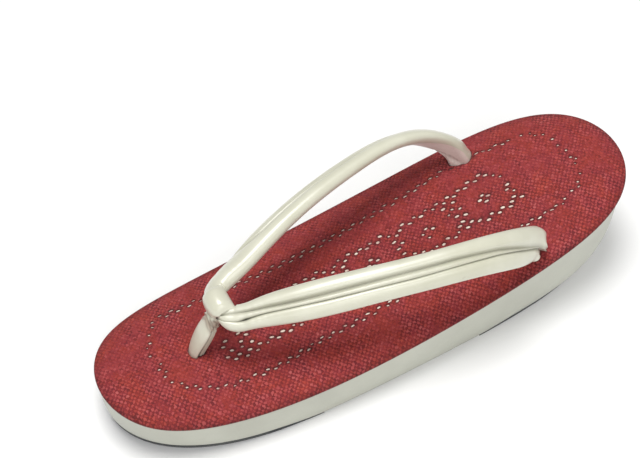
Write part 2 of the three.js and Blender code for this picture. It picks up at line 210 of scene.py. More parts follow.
def face_out(ob):
    bm = bmesh.new()
    bm.from_mesh(ob.data)
    bmesh.ops.recalc_face_normals(bm, faces=bm.faces)
    if bm.calc_volume(signed=True) < 0:
        bmesh.ops.reverse_faces(bm, faces=bm.faces)
    bm.to_mesh(ob.data)
    bm.free()
    ob.data.update()


def wave(x, y, seed, size):
    """A smooth wavy field, about -1 to 1, the same on every run."""
    rng = np.random.RandomState(seed)
    out = np.zeros(np.broadcast(x, y).shape)
    for _ in range(7):
        a, ph, k = rng.uniform(0, 2 * math.pi), rng.uniform(0, 2 * math.pi), rng.uniform(0.6, 1.6)
        out += np.sin((x * math.cos(a) + y * math.sin(a)) * 2 * math.pi * k / size + ph)
    return out / 3.4


# ---------------------------------------------------------------- node helpers
def srgb(r, g, b):
    return tuple(c / 12.92 if c <= 0.04045 else ((c + 0.055) / 1.055) ** 2.4 for c in (r / 255, g / 255, b / 255)) + (1.0,)


class Nodes:
    """Small helper round one material's node tree."""

    def __init__(self, name):
        self.mat = bpy.data.materials.new(name)
        self.mat.use_nodes = True
        self.t = self.mat.node_tree
        self.bsdf = self.t.nodes["Principled BSDF"]

    def put(self, socket, value):
        if isinstance(value, bpy.types.NodeSocket):
            self.t.links.new(value, socket)
        elif value is not None:
            socket.default_value = value

    def math(self, op, a, b=None, c=None, clamp=False):
        n = self.t.nodes.new("ShaderNodeMath")
        n.operation, n.use_clamp = op, clamp
        for s, v in zip(n.inputs, (a, b, c)):
            self.put(s, v)
        return n.outputs[0]

    def mix(self, f, a, b):
        n = self.t.nodes.new("ShaderNodeMix")
        n.data_type = "RGBA"
        self.put(n.inputs[0], f)
        self.put(n.inputs[6], a)
        self.put(n.inputs[7], b)
        return n.outputs[2]

    def blend(self, kind, f, a, b):
        n = self.t.nodes.new("ShaderNodeMix")
        n.data_type, n.blend_type = "RGBA", kind
        self.put(n.inputs[0], f)
        self.put(n.inputs[6], a)
        self.put(n.inputs[7], b)
        return n.outputs[2]

    def noise(self, vec, scale, detail=2.0, rough=0.5, dim="3D", distort=0.0):
        n = self.t.nodes.new("ShaderNodeTexNoise")
        n.noise_dimensions = dim
        self.put(n.inputs["Vector"], vec)
        n.inputs["Scale"].default_value = scale
        n.inputs["Detail"].default_value = detail
        n.inputs["Roughness"].default_value = rough
        n.inputs["Distortion"].default_value = distort
        return n.outputs["Fac"]

    def white(self, vec, dim="2D"):
        n = self.t.nodes.new("ShaderNodeTexWhiteNoise")
        n.noise_dimensions = dim
        self.put(n.inputs["Vector"], vec)
        return n.outputs["Value"]

    def combine(self, x, y, z=0.0):
        n = self.t.nodes.new("ShaderNodeCombineXYZ")
        for s, v in zip(n.inputs, (x, y, z)):
            self.put(s, v)
        return n.outputs[0]

    def split(self, vec):
        n = self.t.nodes.new("ShaderNodeSeparateXYZ")
        self.put(n.inputs[0], vec)
        return n.outputs

    def scale(self, vec, by):
        n = self.t.nodes.new("ShaderNodeVectorMath")
        n.operation = "MULTIPLY"
        self.put(n.inputs[0], vec)
        n.inputs[1].default_value = by
        return n.outputs[0]

    def at(self):
        return self.t.nodes.new("ShaderNodeTexCoord").outputs["Object"]

    def uv(self, name):
        n = self.t.nodes.new("ShaderNodeUVMap")
        n.uv_map = name
        return n.outputs[0]

    def attr(self, name):
        n = self.t.nodes.new("ShaderNodeAttribute")
        n.attribute_name = name
        return n.outputs["Fac"]

    def mixf(self, f, a, b):
        n = self.t.nodes.new("ShaderNodeMix")
        n.data_type = "FLOAT"
        self.put(n.inputs[0], f)
        self.put(n.inputs[2], a)
        self.put(n.inputs[3], b)
        return n.outputs[0]

    def ramp(self, f, stops):
        n = self.t.nodes.new("ShaderNodeValToRGB")
        e = n.color_ramp.elements
        while len(e) < len(stops):
            e.new(0.5)
        for s, (p, c) in zip(e, stops):
            s.position, s.color = p, c
        self.put(n.inputs[0], f)
        return n.outputs[0]

    def range(self, v, a, b, c, d):
        n = self.t.nodes.new("ShaderNodeMapRange")
        n.interpolation_type = "SMOOTHSTEP"
        for s, x in zip(n.inputs, (v, a, b, c, d)):
            self.put(s, x)
        return n.outputs[0]

    def bump(self, height, strength, distance, normal=None):
        n = self.t.nodes.new("ShaderNodeBump")
        n.inputs["Strength"].default_value = strength
        n.inputs["Distance"].default_value = distance
        self.put(n.inputs["Height"], height)
        self.put(n.inputs["Normal"], normal)
        return n.outputs[0]

    def set(self, **values):
        for k, v in values.items():
            self.put(self.bsdf.inputs[k.replace("_", " ")], v)
        return self.mat


# ---------------------------------------------------------------- materials
def woven_material():
    """Plain weave of flat, dyed strands about a millimetre wide."""
    m = Nodes("woven_red")
    u0, v0, _ = m.split(m.uv("cells"))
    place = m.combine(u0, v0, 0.0)
    # no strand lies quite straight
    w1 = m.math("SUBTRACT", m.noise(place, 0.75, 1.0, 0.5, "2D"), 0.5)
    w2 = m.math("SUBTRACT", m.noise(m.combine(v0, u0, 0.0), 0.75, 1.0, 0.5, "2D"), 0.5)
    u = m.math("ADD", u0, m.math("MULTIPLY", w1, 1.25))
    v = m.math("ADD", v0, m.math("MULTIPLY", w2, 1.25))
    fu, fv = (m.math("SUBTRACT", m.math("FRACT", c), 0.5) for c in (u, v))
    iu, iv = m.math("FLOOR", u), m.math("FLOOR", v)
    odd = m.math("FLOORED_MODULO", m.math("ADD", iu, iv), 2.0)

    def strand(along, across):
        w = m.math("MULTIPLY", across, 2.25)
        arch = m.math("SQRT", m.math("SUBTRACT", 1.0, m.math("MULTIPLY", w, w), clamp=True))
        r = m.math("MULTIPLY", along, 2.0)
        return m.math("MULTIPLY", arch, m.math("SUBTRACT", 1.0, m.math("MULTIPLY", m.math("MULTIPLY", r, r), 0.4)))

    h = m.mixf(odd, m.math("SUBTRACT", m.math("MULTIPLY", strand(fv, fu), 0.8), 0.10), strand(fu, fv))
    # fibres along each strand
    fx = m.noise(m.combine(m.math("MULTIPLY", u, 1.1), m.math("MULTIPLY", v, 9.0), 3.0), 1.0, 2.0)
    fy = m.noise(m.combine(m.math("MULTIPLY", u, 9.0), m.math("MULTIPLY", v, 1.1), 7.0), 1.0, 2.0)
    fibre = m.mixf(odd, fy, fx)
    # each strand took the dye a little differently, and the dye clouds over some millimetres
    own_x = m.white(m.combine(m.math("FLOOR", m.math("MULTIPLY", u, 0.2)), iv, 1.0), "3D")
    own_y = m.white(m.combine(iu, m.math("FLOOR", m.math("MULTIPLY", v, 0.2)), 2.0), "3D")
    own = m.mixf(odd, own_y, own_x)
    cell = m.white(m.combine(iu, iv, 5.0), "3D")
    cloud = m.noise(place, 0.16, 3.0, 0.6, "2D", 0.4)
    cloud2 = m.noise(place, 0.45, 2.0, 0.6, "2D", 0.3)
    hue = m.noise(m.scale(place, (1.0, 1.0, 1.0)), 0.11, 3.0, 0.65, "2D", 0.5)
    # the painted strand shading shows more in some places than in others, and more towards the near side
    strand_shading = m.range(m.math("ADD", m.noise(place, 0.07, 1.0, 0.5, "2D"), m.math("MULTIPLY", v0, 0.0045)), 0.34, 0.62, 0.45, 1.0)
    tone = m.math("ADD", m.math("MULTIPLY", own, 0.16), m.math("ADD", m.math("MULTIPLY", cloud, 0.26),
                  m.math("ADD", m.math("MULTIPLY", cell, 0.24), m.math("MULTIPLY", m.math("SUBTRACT", cloud2, 0.5), 0.20))))
    tone = m.math("ADD", tone, 0.10)
    # painted light: the floats along the shoe are lighter than those across it
    tone = m.math("ADD", tone, m.math("MULTIPLY", m.math("SUBTRACT", odd, 0.5), m.math("MULTIPLY", strand_shading, 0.40)))
    warm = m.ramp(tone, [(0.12, srgb(124, 34, 31)), (0.34, srgb(151, 47, 40)), (0.54, srgb(166, 57, 47)),
                         (0.74, srgb(180, 70, 57)), (0.97, srgb(192, 95, 80))])
    cool = m.ramp(tone, [(0.10, srgb(108, 24, 36)), (0.34, srgb(141, 41, 47)), (0.54, srgb(160, 57, 59)),
                         (0.72, srgb(176, 73, 73)), (0.95, srgb(193, 99, 96))])
    col = m.mix(m.range(m.math("ADD", m.math("MULTIPLY", hue, 0.8), m.math("MULTIPLY", cell, 0.2)), 0.28, 0.64, 0.0, 1.0), warm, cool)
    # painted shade between the strands: darker where a strand dips under its neighbour
    deep = m.blend("MULTIPLY", 1.0, col, srgb(230, 204, 208))
    lit = m.math("ADD", m.math("MULTIPLY", h, 1.3), m.math("SUBTRACT", 0.45, m.math("MULTIPLY", strand_shading, 0.45)), clamp=True)
    col = m.mix(lit, deep, col)
    col = m.blend("MULTIPLY", 0.3, col, m.ramp(fibre, [(0.25, (0.62, 0.62, 0.62, 1)), (0.75, (1, 1, 1, 1))]))
    # painted shade: darker where the cloth rolls over the edge; round each hole and slot, partly painted shade and
    # partly the strands' darker cut ends
    col = m.blend("MULTIPLY", m.math("MULTIPLY", m.attr("rim"), 0.85), col, srgb(186, 160, 168))
    col = m.blend("MULTIPLY", m.math("MULTIPLY", m.attr("hole"), 0.8), col, srgb(150, 118, 126))
    b = m.bump(m.math("ADD", h, m.math("MULTIPLY", fibre, 0.25)), 1.0, 0.00015)
    m.set(Base_Color=col, Roughness=m.range(fibre, 0.2, 0.8, 0.6, 0.76), Normal=b)
    m.bsdf.inputs["Sheen Weight"].default_value = 0.1
    m.bsdf.inputs["Sheen Roughness"].default_value = 0.5
    m.bsdf.inputs["Specular IOR Level"].default_value = 0.3
    return m.mat


def pad_material():
    """The pale cover of the padding, seen through the openwork."""
    m = Nodes("pad_cream")
    p = m.at()
    n = m.noise(p, 420.0, 2.0)
    m.set(Base_Color=m.ramp(n, [(0.34, srgb(196, 158, 148)), (0.50, srgb(226, 208, 194)), (0.66, srgb(240, 228, 212))]), Roughness=0.7,
          Normal=m.bump(n, 0.5, 0.0001))
    return m.mat


def enamel_material():
    m = Nodes("enamel_cream")
    p = m.at()
    tone = m.noise(p, 38.0, 4.0, 0.55)
    fine = m.noise(p, 1300.0, 3.0, 0.6)
    peel = m.noise(p, 420.0, 2.0, 0.5)
    col = m.ramp(tone, [(0.25, srgb(173, 173, 160)), (0.5, srgb(181, 182, 169)), (0.78, srgb(189, 190, 177))])
    col = m.blend("MULTIPLY", 0.25, col, m.ramp(fine, [(0.3, (0.86, 0.86, 0.85, 1)), (0.7, (1, 1, 1, 1))]))
    b = m.bump(peel, 0.35, 0.00025)
    b = m.bump(fine, 0.25, 0.00006, b)
    m.set(Base_Color=col, Roughness=m.range(tone, 0.2, 0.8, 0.40, 0.50), Normal=b)
    m.bsdf.inputs["Coat Weight"].default_value = 0.25
    m.bsdf.inputs["Coat Roughness"].default_value = 0.22
    m.bsdf.inputs["Specular IOR Level"].default_value = 0.45
    return m.mat


def pearl_material():
    m = Nodes("pearl_leather")
    p = m.at()
    tone = m.noise(p, 60.0, 3.0, 0.5)
    grain = m.t.nodes.new("ShaderNodeTexVoronoi")
    grain.feature = "DISTANCE_TO_EDGE"
    m.put(grain.inputs["Vector"], p)
    grain.inputs["Scale"].default_value = 1500.0
    g = m.range(grain.outputs["Distance"], 0.0, 0.25, 0.0, 1.0)
    soft = m.noise(p, 260.0, 3.0, 0.55)
    col = m.ramp(tone, [(0.25, srgb(200, 199, 178)), (0.55, srgb(209, 208, 189)), (0.8, srgb(219, 218, 201))])
    # greyed: the post's gathers under the loop as painted shade, and its rear leg and foot
    col = m.blend("MULTIPLY", m.attr("shade_and_tint"), col, srgb(204, 188, 182))
    # nearly black: painted shade along the strap creases, in the pinch and in the gathers' hollows; dark seam lines on
    # the post
    col = m.blend("MULTIPLY", m.attr("deep"), col, srgb(72, 62, 54))
    b = m.bump(soft, 0.3, 0.0003)
    b = m.bump(g, 0.2, 0.00004, b)
    m.set(Base_Color=col, Roughness=m.range(tone, 0.2, 0.8, 0.27, 0.36), Normal=b)
    m.bsdf.inputs["Coat Weight"].default_value = 0.8
    m.bsdf.inputs["Coat Roughness"].default_value = 0.27
    m.bsdf.inputs["Sheen Weight"].default_value = 0.1
    m.bsdf.inputs["Specular IOR Level"].default_value = 0.5
    return m.mat


def lining_material():
    m = Nodes("lining_beige")
    p = m.at()
    nap = m.noise(p, 1400.0, 3.0, 0.65)
    tone = m.noise(p, 90.0, 3.0, 0.5)
    col = m.ramp(tone, [(0.3, srgb(215, 197, 189)), (0.7, srgb(229, 214, 206))])
    col = m.blend("MULTIPLY", 0.4, col, m.ramp(nap, [(0.3, (0.8, 0.79, 0.78, 1)), (0.7, (1, 1, 1, 1))]))
    # painted shade in the lining's slanting fold near the strap's end
    col = m.blend("MULTIPLY", m.attr("deep"), col, srgb(150, 122, 118))
    m.set(Base_Color=col, Roughness=0.8, Normal=m.bump(nap, 0.5, 0.00008))
    m.bsdf.inputs["Sheen Weight"].default_value = 0.25
    m.bsdf.inputs["Specular IOR Level"].default_value = 0.3
    return m.mat


def rubber_material():
    m = Nodes("sole_rubber")
    p = m.at()
    x, y, z = m.split(p)
    # fine diagonal knurl
    a = m.math("SINE", m.math("MULTIPLY", m.math("ADD", x, y), 2600.0))
    b = m.math("SINE", m.math("MULTIPLY", m.math("SUBTRACT", x, y), 2600.0))
    knurl = m.math("MULTIPLY", m.math("ADD", a, b), 0.25)
    fine = m.noise(p, 900.0, 4.0, 0.65)
    dust = m.noise(p, 70.0, 4.0, 0.6)
    col = m.ramp(dust, [(0.35, srgb(66, 68, 70)), (0.7, srgb(88, 89, 88))])
    col = m.blend("MULTIPLY", 0.5, col, m.ramp(fine, [(0.3, (0.75, 0.75, 0.75, 1)), (0.7, (1, 1, 1, 1))]))
    n = m.bump(knurl, 0.6, 0.0002)
    n = m.bump(fine, 0.4, 0.00008, n)
    m.set(Base_Color=col, Roughness=0.72, Normal=n)
    m.bsdf.inputs["Specular IOR Level"].default_value = 0.35
    return m.mat


WOVEN, PAD, ENAMEL, PEARL, LINING, RUBBER = (f() for f in (
    woven_material, pad_material, enamel_material, pearl_material, lining_material, rubber_material))


# ---------------------------------------------------------------- straps
def strap_path(tucked):
    side = np.array(STRAP, float)
    if tucked:
        for col, add in zip((0, 1, 2, 3), END_TUCK):
            side[:, col] += add * side[:, 7]
    mirror = side[1:][::-1].copy()
    mirror[:, 1] *= -1
    rows = np.concatenate([mirror, side])
    at = np.concatenate([[0], np.cumsum(np.linalg.norm(np.diff(rows[:, :3], axis=0), axis=1))])
    mid = at[len(STRAP) - 1]
    f = [natural(at, rows[:, c]) for c in range(7)]
    return lambda s: np.stack([g(mid + np.asarray(s, float)) for g in f], -1), at[-1] - mid


ACROSS_TOP = np.concatenate([
    [-1.0, -0.985, -0.95, -0.90, -0.83, -0.74, -0.64, -0.53, -0.42, -0.32, -0.24, -0.175, -0.13, -0.105, -0.09],
    [-0.075, -0.05, -0.01, 0.04, 0.09, 0.13, 0.165, 0.187, 0.20],
    [0.213, 0.235, 0.27, 0.33, 0.41, 0.50, 0.59, 0.68, 0.77, 0.85, 0.91, 0.955, 0.985, 1.0]])
ACROSS_BACK = np.array([0.97, 0.9, 0.8, 0.70, 0.60, 0.50, 0.40, 0.30, 0.20, 0.10, 0.0, -0.11, -0.22, -0.33, -0.5, -0.66, -0.8, -0.9, -0.97])


# the two creases along a strap: distance from the fold, place of each across the strap, depth of each
CREASES = [
    (3.2, 0.88, 0.97, 0.30, 0.30), (4.0, 0.80, 0.95, 0.50, 0.50), (4.7, 0.48, 0.88, 0.46, 0.48), (6.0, 0.06, 0.72, 0.38, 0.44),
    (7.0, -0.15, 0.52, 0.32, 0.40), (8.0, -0.24, 0.33, 0.32, 0.40), (9.5, -0.32, 0.27, 0.34, 0.52), (12.0, -0.38, 0.21, 0.36, 0.88),
    (14.5, -0.34, 0.17, 0.42, 0.94), (18.0, -0.27, 0.13, 0.48, 0.74), (21.5, -0.22, 0.12, 0.52, 0.60), (28.0, -0.16, 0.13, 0.50, 0.54),
    (36.0, -0.15, 0.12, 0.48, 0.52), (60.0, -0.19, 0.14, 0.44, 0.50), (80.0, -0.23, 0.15, 0.42, 0.50), (98.0, -0.25, 0.09, 0.42, 0.52),
    (115.0, -0.16, 0.05, 0.42, 0.56), (125.0, -0.03, 0.08, 0.40, 0.60), (133.0, 0.05, 0.14, 0.34, 0.64), (139.0, 0.11, 0.18, 0.30, 0.70),
    (142.0, 0.15, 0.21, 0.26, 0.74), (144.5, 0.12, 0.18, 0.24, 0.74), (146.5, -0.16, -0.10, 0.22, 0.70), (148.5, -0.46, -0.40, 0.20, 0.66),
    (152.0, -0.72, -0.66, 0.20, 0.60), (160.0, -0.80, -0.74, 0.20, 0.60),
]
# upper edge of the lining on a strap's underside, by distance from the buried end
LINING_EDGE = [(0, -0.62), (30, -0.62), (42, -0.30), (60, 0.10), (90, 0.22), (140, 0.30), (160, 0.34)]


def table(rows, col, s, soft=1.5):
    """A table's column at s, with its corners eased."""
    rows = np.array(rows, float)
    return sum(np.interp(s + d * soft, rows[:, 0], rows[:, col]) for d in (-1, -0.5, 0, 0.5, 1)) / 5


def strap_sections(tucked, s, grow=0.0, plain=False):
    """Sections of a strap at distances s from the fold, and how deep in a fold each point is, which the colour takes as
    painted shade.
    """
    path, length = strap_path(tucked)
    c, e = path(s), 0.05
    run = path(s + e)[:, :3] - path(s - e)[:, :3]
    run /= np.linalg.norm(run, axis=1)[:, None]
    up = np.array([0, 0, 1.0]) - run * run[:, 2:3]
    up /= np.linalg.norm(up, axis=1)[:, None]
    dive = np.stack([run[:, 2], np.zeros(len(s)), -run[:, 0]], -1)
    dive -= run * (dive * run).sum(1)[:, None]
    dive /= np.maximum(np.linalg.norm(dive, axis=1), 1e-6)[:, None]
    k = smooth(30, 48, -c[:, 0])[:, None]
    up = up * (1 - k) + dive * k
    up /= np.linalg.norm(up, axis=1)[:, None]
    out = np.cross(run, up)
    lean = np.radians(c[:, 5])[:, None]
    wide = out * np.cos(lean) - up * np.sin(lean)
    face = out * np.sin(lean) + up * np.cos(lean)
    half, thick = c[:, 3], c[:, 4]
    pleat = np.clip(c[:, 6], 0, 1)
    far = length - s                       # from the buried end

    c1, c2, d1, d2 = (table(CREASES, k, s, 0.7)[:, None] for k in (1, 2, 3, 4))
    near = 1 - smooth(16, 40, s)[:, None]
    d1 = d1 + 0.16 * smooth(6, 14, s)[:, None] * (1 - smooth(118, 136, s))[:, None]
    if tucked:
        # here the pleats run off round the outer edge before the loop
        c1, c2 = c1 + near * (0.90 - c1), c2 + near * (0.95 - c2)
        d1, d2 = d1 * (1 - 0.9 * near), d2 * (1 - 0.8 * near)
    b = ACROSS_TOP[None, :]
    a = np.broadcast_to(ACROSS_TOP, (len(s), len(ACROSS_TOP))).copy()
    if not plain:
        a = np.where(b <= -0.09, -1 + (b + 1) / 0.91 * (c1 + 1),
                     np.where(b <= 0.20, c1 + (b + 0.09) / 0.29 * (c2 - c1), c2 + (b - 0.20) / 0.80 * (1 - c2)))
    env = np.sqrt(np.maximum(0, 1 - np.abs(a) ** (3.0 - 0.8 * smooth(0.1, 0.5, a))))
    oval = np.sqrt(np.maximum(0, 1 - a * a))
    fold = (smooth(2.5, 5.0, s) * smooth(5.0, 9.0, far))[:, None]
    deep = np.zeros_like(a)
    if plain:
        top = oval * (1 - pleat[:, None]) + env * pleat[:, None]
    else:
        # three pillows: each drops in an arc to the crease at its side
        def arc(t):
            return 1 - np.sqrt(np.maximum(0, 1 - np.clip(t, -1, 1) ** 2))

        wob = 0.03 * np.sin(s * 0.21 + 1.0)[:, None]
        m_up, m_lo, m_mid, h_mid = (c1 - 1) / 2 - 0.05, (c2 + 1) / 2, (c1 + c2) / 2, (c2 - c1) / 2
        t_up = np.maximum(0, (a - m_up) / (c1 - m_up))
        t_mid = (a - m_mid) / h_mid
        t_lo = np.maximum(0, (m_lo - a) / (m_lo - c2))
        low = 0.10
        # the upper crease is a broad soft trough, the lower one a sharp line
        blunt = smooth(0.30, 1.10, t_up) ** 1.1 / smooth(0.30, 1.10, 1.0) ** 1.1
        side = np.where(t_mid < 0, 0.75 * np.abs(t_mid) ** 2 + 0.25 * arc(t_mid), arc(t_mid))
        drop = np.where(b <= -0.09, (d1 + wob) * blunt,
                        np.where(b <= 0.20, low + (np.where(t_mid < 0, d1 + wob, d2 - wob) - low) * side,
                                 0.04 + (d2 - wob - 0.04) * arc(t_lo)))
        shape = env + 0.06 * (1 - a * a) - drop
        shape = np.where(np.abs(a) >= 1.0, 0.0, np.minimum(shape, env * 1.08 + 0.02))
        top = oval * (1 - fold) + shape * fold
        # all the pleats start from one pinch beside the loop
        pinch = np.exp(-((s[:, None] - 4.1) / 0.8) ** 2 - ((a - 0.92) / 0.14) ** 2)
        top = top - 0.45 * pinch * (0 if tucked else 1)
        # soft puckers where the strap bends over and where it is gathered
        puck = 0.020 * np.sin(s * 1.9 + 2.0 * np.sin(s * 0.31))[:, None] * (1 - smooth(10, 34, s))[:, None]
        puck = puck + 0.018 * np.sin(far * 1.35 + 1.1)[:, None] * (smooth(12, 18, far) * (1 - smooth(24, 40, far)))[:, None]
        top = top + puck * (1 - a * a)
        # painted shade: darker along both creases, nearly black in the lower crease's open gap and in the pinch
        gap = np.exp(-((s - 13.4) / 1.7) ** 2)[:, None]
        deep = np.clip(0.26 * np.exp(-((a - c1 + 0.05) / 0.13) ** 2) + (0.24 * smooth(9, 14, s)[:, None] + 0.10 + 0.75 * gap) * np.exp(-np.abs(a - c2) / (0.034 + 0.035 * gap)), 0, 1) * fold
        deep = np.clip(deep + 1.1 * pinch ** 1.5, 0, 1) * (1 - near if tucked else 1)
    edge = table(LINING_EDGE, 1, far, 3.0)[:, None]
    if tucked:
        edge = np.maximum(edge - (0.26 * (1 - smooth(14, 34, far)) + 0.10 * (1 - smooth(14, 22, far)))[:, None], -0.94)
    w = ACROSS_BACK[None, :]
    back_a = np.where(w >= -0.33, 0.8 + (0.8 - w) / 1.13 * (edge - 0.8), edge + (-0.33 - w) / 0.64 * (-0.97 - edge))
    back_a = np.where(w > 0.8, w, back_a)
    if plain:
        back_a = np.broadcast_to(w, back_a.shape)
    # the tucked end keeps a square outer edge where it goes into the footbed
    square = (1 - smooth(-0.5, 0.1, back_a)) * (1 - smooth(14, 26, far))[:, None] * (1 if tucked else 0)
    flat = -0.90 * (1 - np.abs(back_a) ** (3.2 + 4.0 * square)) ** 0.5
    if not plain:
        # the leather's turned edges stand over the lining
        flat = flat + 0.07 * smooth(0.0, 0.04, back_a - edge) * smooth(0.0, 0.04, 0.80 - back_a)
        # the lining is caught in a slanting fold near the end
        caught = smooth(12, 15, far)[:, None] * (1 - smooth(22, 26, far)[:, None])
        line = np.exp(-((back_a - (0.72 - (23 - far[:, None]) * 0.095)) / 0.12) ** 2) * caught
        flat = flat + 0.14 * line
    back = flat * pleat[:, None] - np.sqrt(1 - np.abs(back_a) ** (2 + 4.0 * square)) * (1 - pleat[:, None])
    across = np.concatenate([a, back_a], 1)
    proud = np.concatenate([top, back], 1)
    p = (c[:, None, :3] + wide[:, None] * (across * (half[:, None] + grow))[..., None]
         + face[:, None] * (proud * (thick[:, None] + grow))[..., None])
    if not plain:
        # the upper band turns down later than the lower one, in a square corner
        hang = (smooth(9, 15, far) * (1 - smooth(19, 30, far)))[:, None]
        upper, lower = 1 - smooth(0.0, 0.05, across - c2), smooth(0.0, 0.05, across - c2)
        keep = np.ones_like(across)
        keep[:, len(ACROSS_TOP):] = 0.3
        shift = hang * (1.2 * upper - 0.2 * lower) * keep
        corner = np.exp(-((far[:, None] - 17.5) / 3.2) ** 2) * upper * keep * (1 - smooth(0.90, 1.0, np.abs(across)))
        # below the lower band's end only the buried stem is left
        later = 4.4 * smooth(0.40, 0.85, across)
        stem = smooth(20.5 - later, 17.5 - later, far[:, None]) * lower * keep
        p = (p + run[:, None] * (shift + 0.4 * corner)[..., None]
             + face[:, None] * ((0.4 if tucked else 1.4) * corner - 2.3 * stem)[..., None] - wide[:, None] * (1.5 * stem * smooth(0.3, 0.9, across))[..., None])
        if not tucked:
            # the lower band ends in an upright edge, the upper one in a square shoulder
            ends = np.exp(-((far[:, None] - 17.4) / 2.8) ** 2)
            p[..., 0] -= 0.8 * ends * smooth(0.25, 0.85, across)
            p[..., 1] += 1.0 * ends * smooth(0.55, 0.98, across)
            brow = np.exp(-((far[:, None] - 20.0) / 3.5) ** 2) * (1 - smooth(-1.0, -0.5, across))
            p[..., 0] += 1.4 * np.exp(-((far[:, None] - 16.3) / 3.6) ** 2) * smooth(-1.0, -0.7, across) * (1 - smooth(-0.42, -0.05, across)) - 0.3 * brow
            p[..., 2] += 0.4 * brow
        if tucked:
            # this end's outer corner stands out towards the heel
            p[..., 0] -= 1.7 * np.exp(-((far[:, None] - 11.0) / 3.6) ** 2) * (1 - smooth(-0.4, 0.6, across))
    # on the back, the painted shade lies in the lining's slanting fold
    return p, np.concatenate([deep, np.zeros_like(back_a) if plain else 0.55 * line], 1)


def cut_length(tucked):
    """Where a strap's hidden end stops, inside the footbed's slot."""
    path, length = strap_path(tucked)
    s = np.linspace(0, length, 4000)
    c = path(s)
    low = rim_height(c[:, 0]) - 0.25
    i = np.nonzero((c[:, 2] > low) | (s < length * 0.5))[0][-1]
    return s[i]


def eased(n, length):
    w = np.linspace(0, 1, n)
    return length * (w - 0.45 * np.sin(2 * math.pi * w) / (2 * math.pi))


STRAP_N = 250
STRAP_M = len(ACROSS_TOP) + len(ACROSS_BACK)
strap_near, deep_near = strap_sections(False, eased(STRAP_N, cut_length(False)))
strap_far, deep_far = strap_sections(True, eased(STRAP_N, cut_length(True)))
strap_near[0, :, 1] = 0
strap_far[:, :, 1] *= -1
rings = np.concatenate([strap_far[1:][::-1], strap_near])
verts = rings.reshape(-1, 3)
rows = len(rings)
faces = ring_faces(rows, STRAP_M).tolist()
top_n = len(ACROSS_TOP)
lining = np.zeros(STRAP_M, int)
lining[top_n + 2:top_n + 13] = 1           # between the leather's two turned edges
fmat = np.tile(lining, rows - 1).tolist()
for row in (0, rows - 1):
    faces.append((np.arange(STRAP_M) + row * STRAP_M).tolist())
    fmat.append(1)
straps = make("straps_padded", verts, faces, [PEARL, LINING], fmat)
# painted shade in the straps' creases and folds
mark(straps, "deep", np.concatenate([deep_far[1:][::-1], deep_near]))
mark(straps, "shade_and_tint", np.zeros(len(verts)))
face_out(straps)


# ---------------------------------------------------------------- footbed surface
E_T = np.linspace(0, math.pi, 3001)
_edge = inset(rim_point, E_T, 1.2)
_rimline = rim_point(E_T)


def footbed_height(x, y):
    x, y = np.asarray(x, float), np.asarray(y, float)
    half = np.interp(x, _edge[:, 0], _edge[:, 1], left=0.0, right=0.0)
    f = np.clip(np.abs(y) / np.maximum(half, 1e-3), 0, 1)
    u = np.clip(np.abs(2 * x / LENGTH), 0, 1)
    z = rim_height(x) + 0.7 + (CROWN - 0.7) * (1 - f ** 3) * (1 - u ** 10)
    for dx, dy, depth, radius in ((*DIP_POST[:2], 0.3, 5.0), DIP_STRAP):
        z = z - depth * np.exp(-((x - dx) ** 2 + (np.abs(y) - dy) ** 2) / (2 * radius ** 2))
    return z


def waterline(rings_):
    """Where each lengthwise line of a loft goes through the footbed's surface."""
    n, m = rings_.shape[:2]
    above = rings_[..., 2] - footbed_height(rings_[..., 0], rings_[..., 1])
    loop = []
    for k in range(m):
        i = np.nonzero((above[:-1, k] > 0) & (above[1:, k] <= 0))[0]
        if len(i) == 0:
            continue
        i = i[-1]
        w = above[i, k] / (above[i, k] - above[i + 1, k])
        loop.append(rings_[i, k, :2] * (1 - w) + rings_[i + 1, k, :2] * w)
    loop = np.array(loop)
    centre = loop.mean(0)
    out = loop - centre
    r = np.linalg.norm(out, axis=1)[:, None]
    loop = centre + out * (1 + 0.18 / r)
    # even spacing
    ring = np.concatenate([loop, loop[:1]])
    s = np.concatenate([[0], np.cumsum(np.linalg.norm(np.diff(ring, axis=0), axis=1))])
    q = np.linspace(0, s[-1], 49)[:-1]
    return np.stack([np.interp(q, s, ring[:, 0]), np.interp(q, s, ring[:, 1])], -1)


# ---------------------------------------------------------------- toe post and loop
def seam_at(z):
    """Angle of the post's side seams, from the toe side round, at a height."""
    return np.radians(82 + 8 * smooth(22, 37, z))


def gather_at(z, cw, sw):
    """The slanted gathers under the loop: how strong, and their phase."""
    tilt = z + 4.2 * (0.47 * np.abs(sw) - 0.88 * cw)
    return smooth(36.0, 39.0, tilt) * (1 - smooth(46.5, 48.0, tilt)), tilt


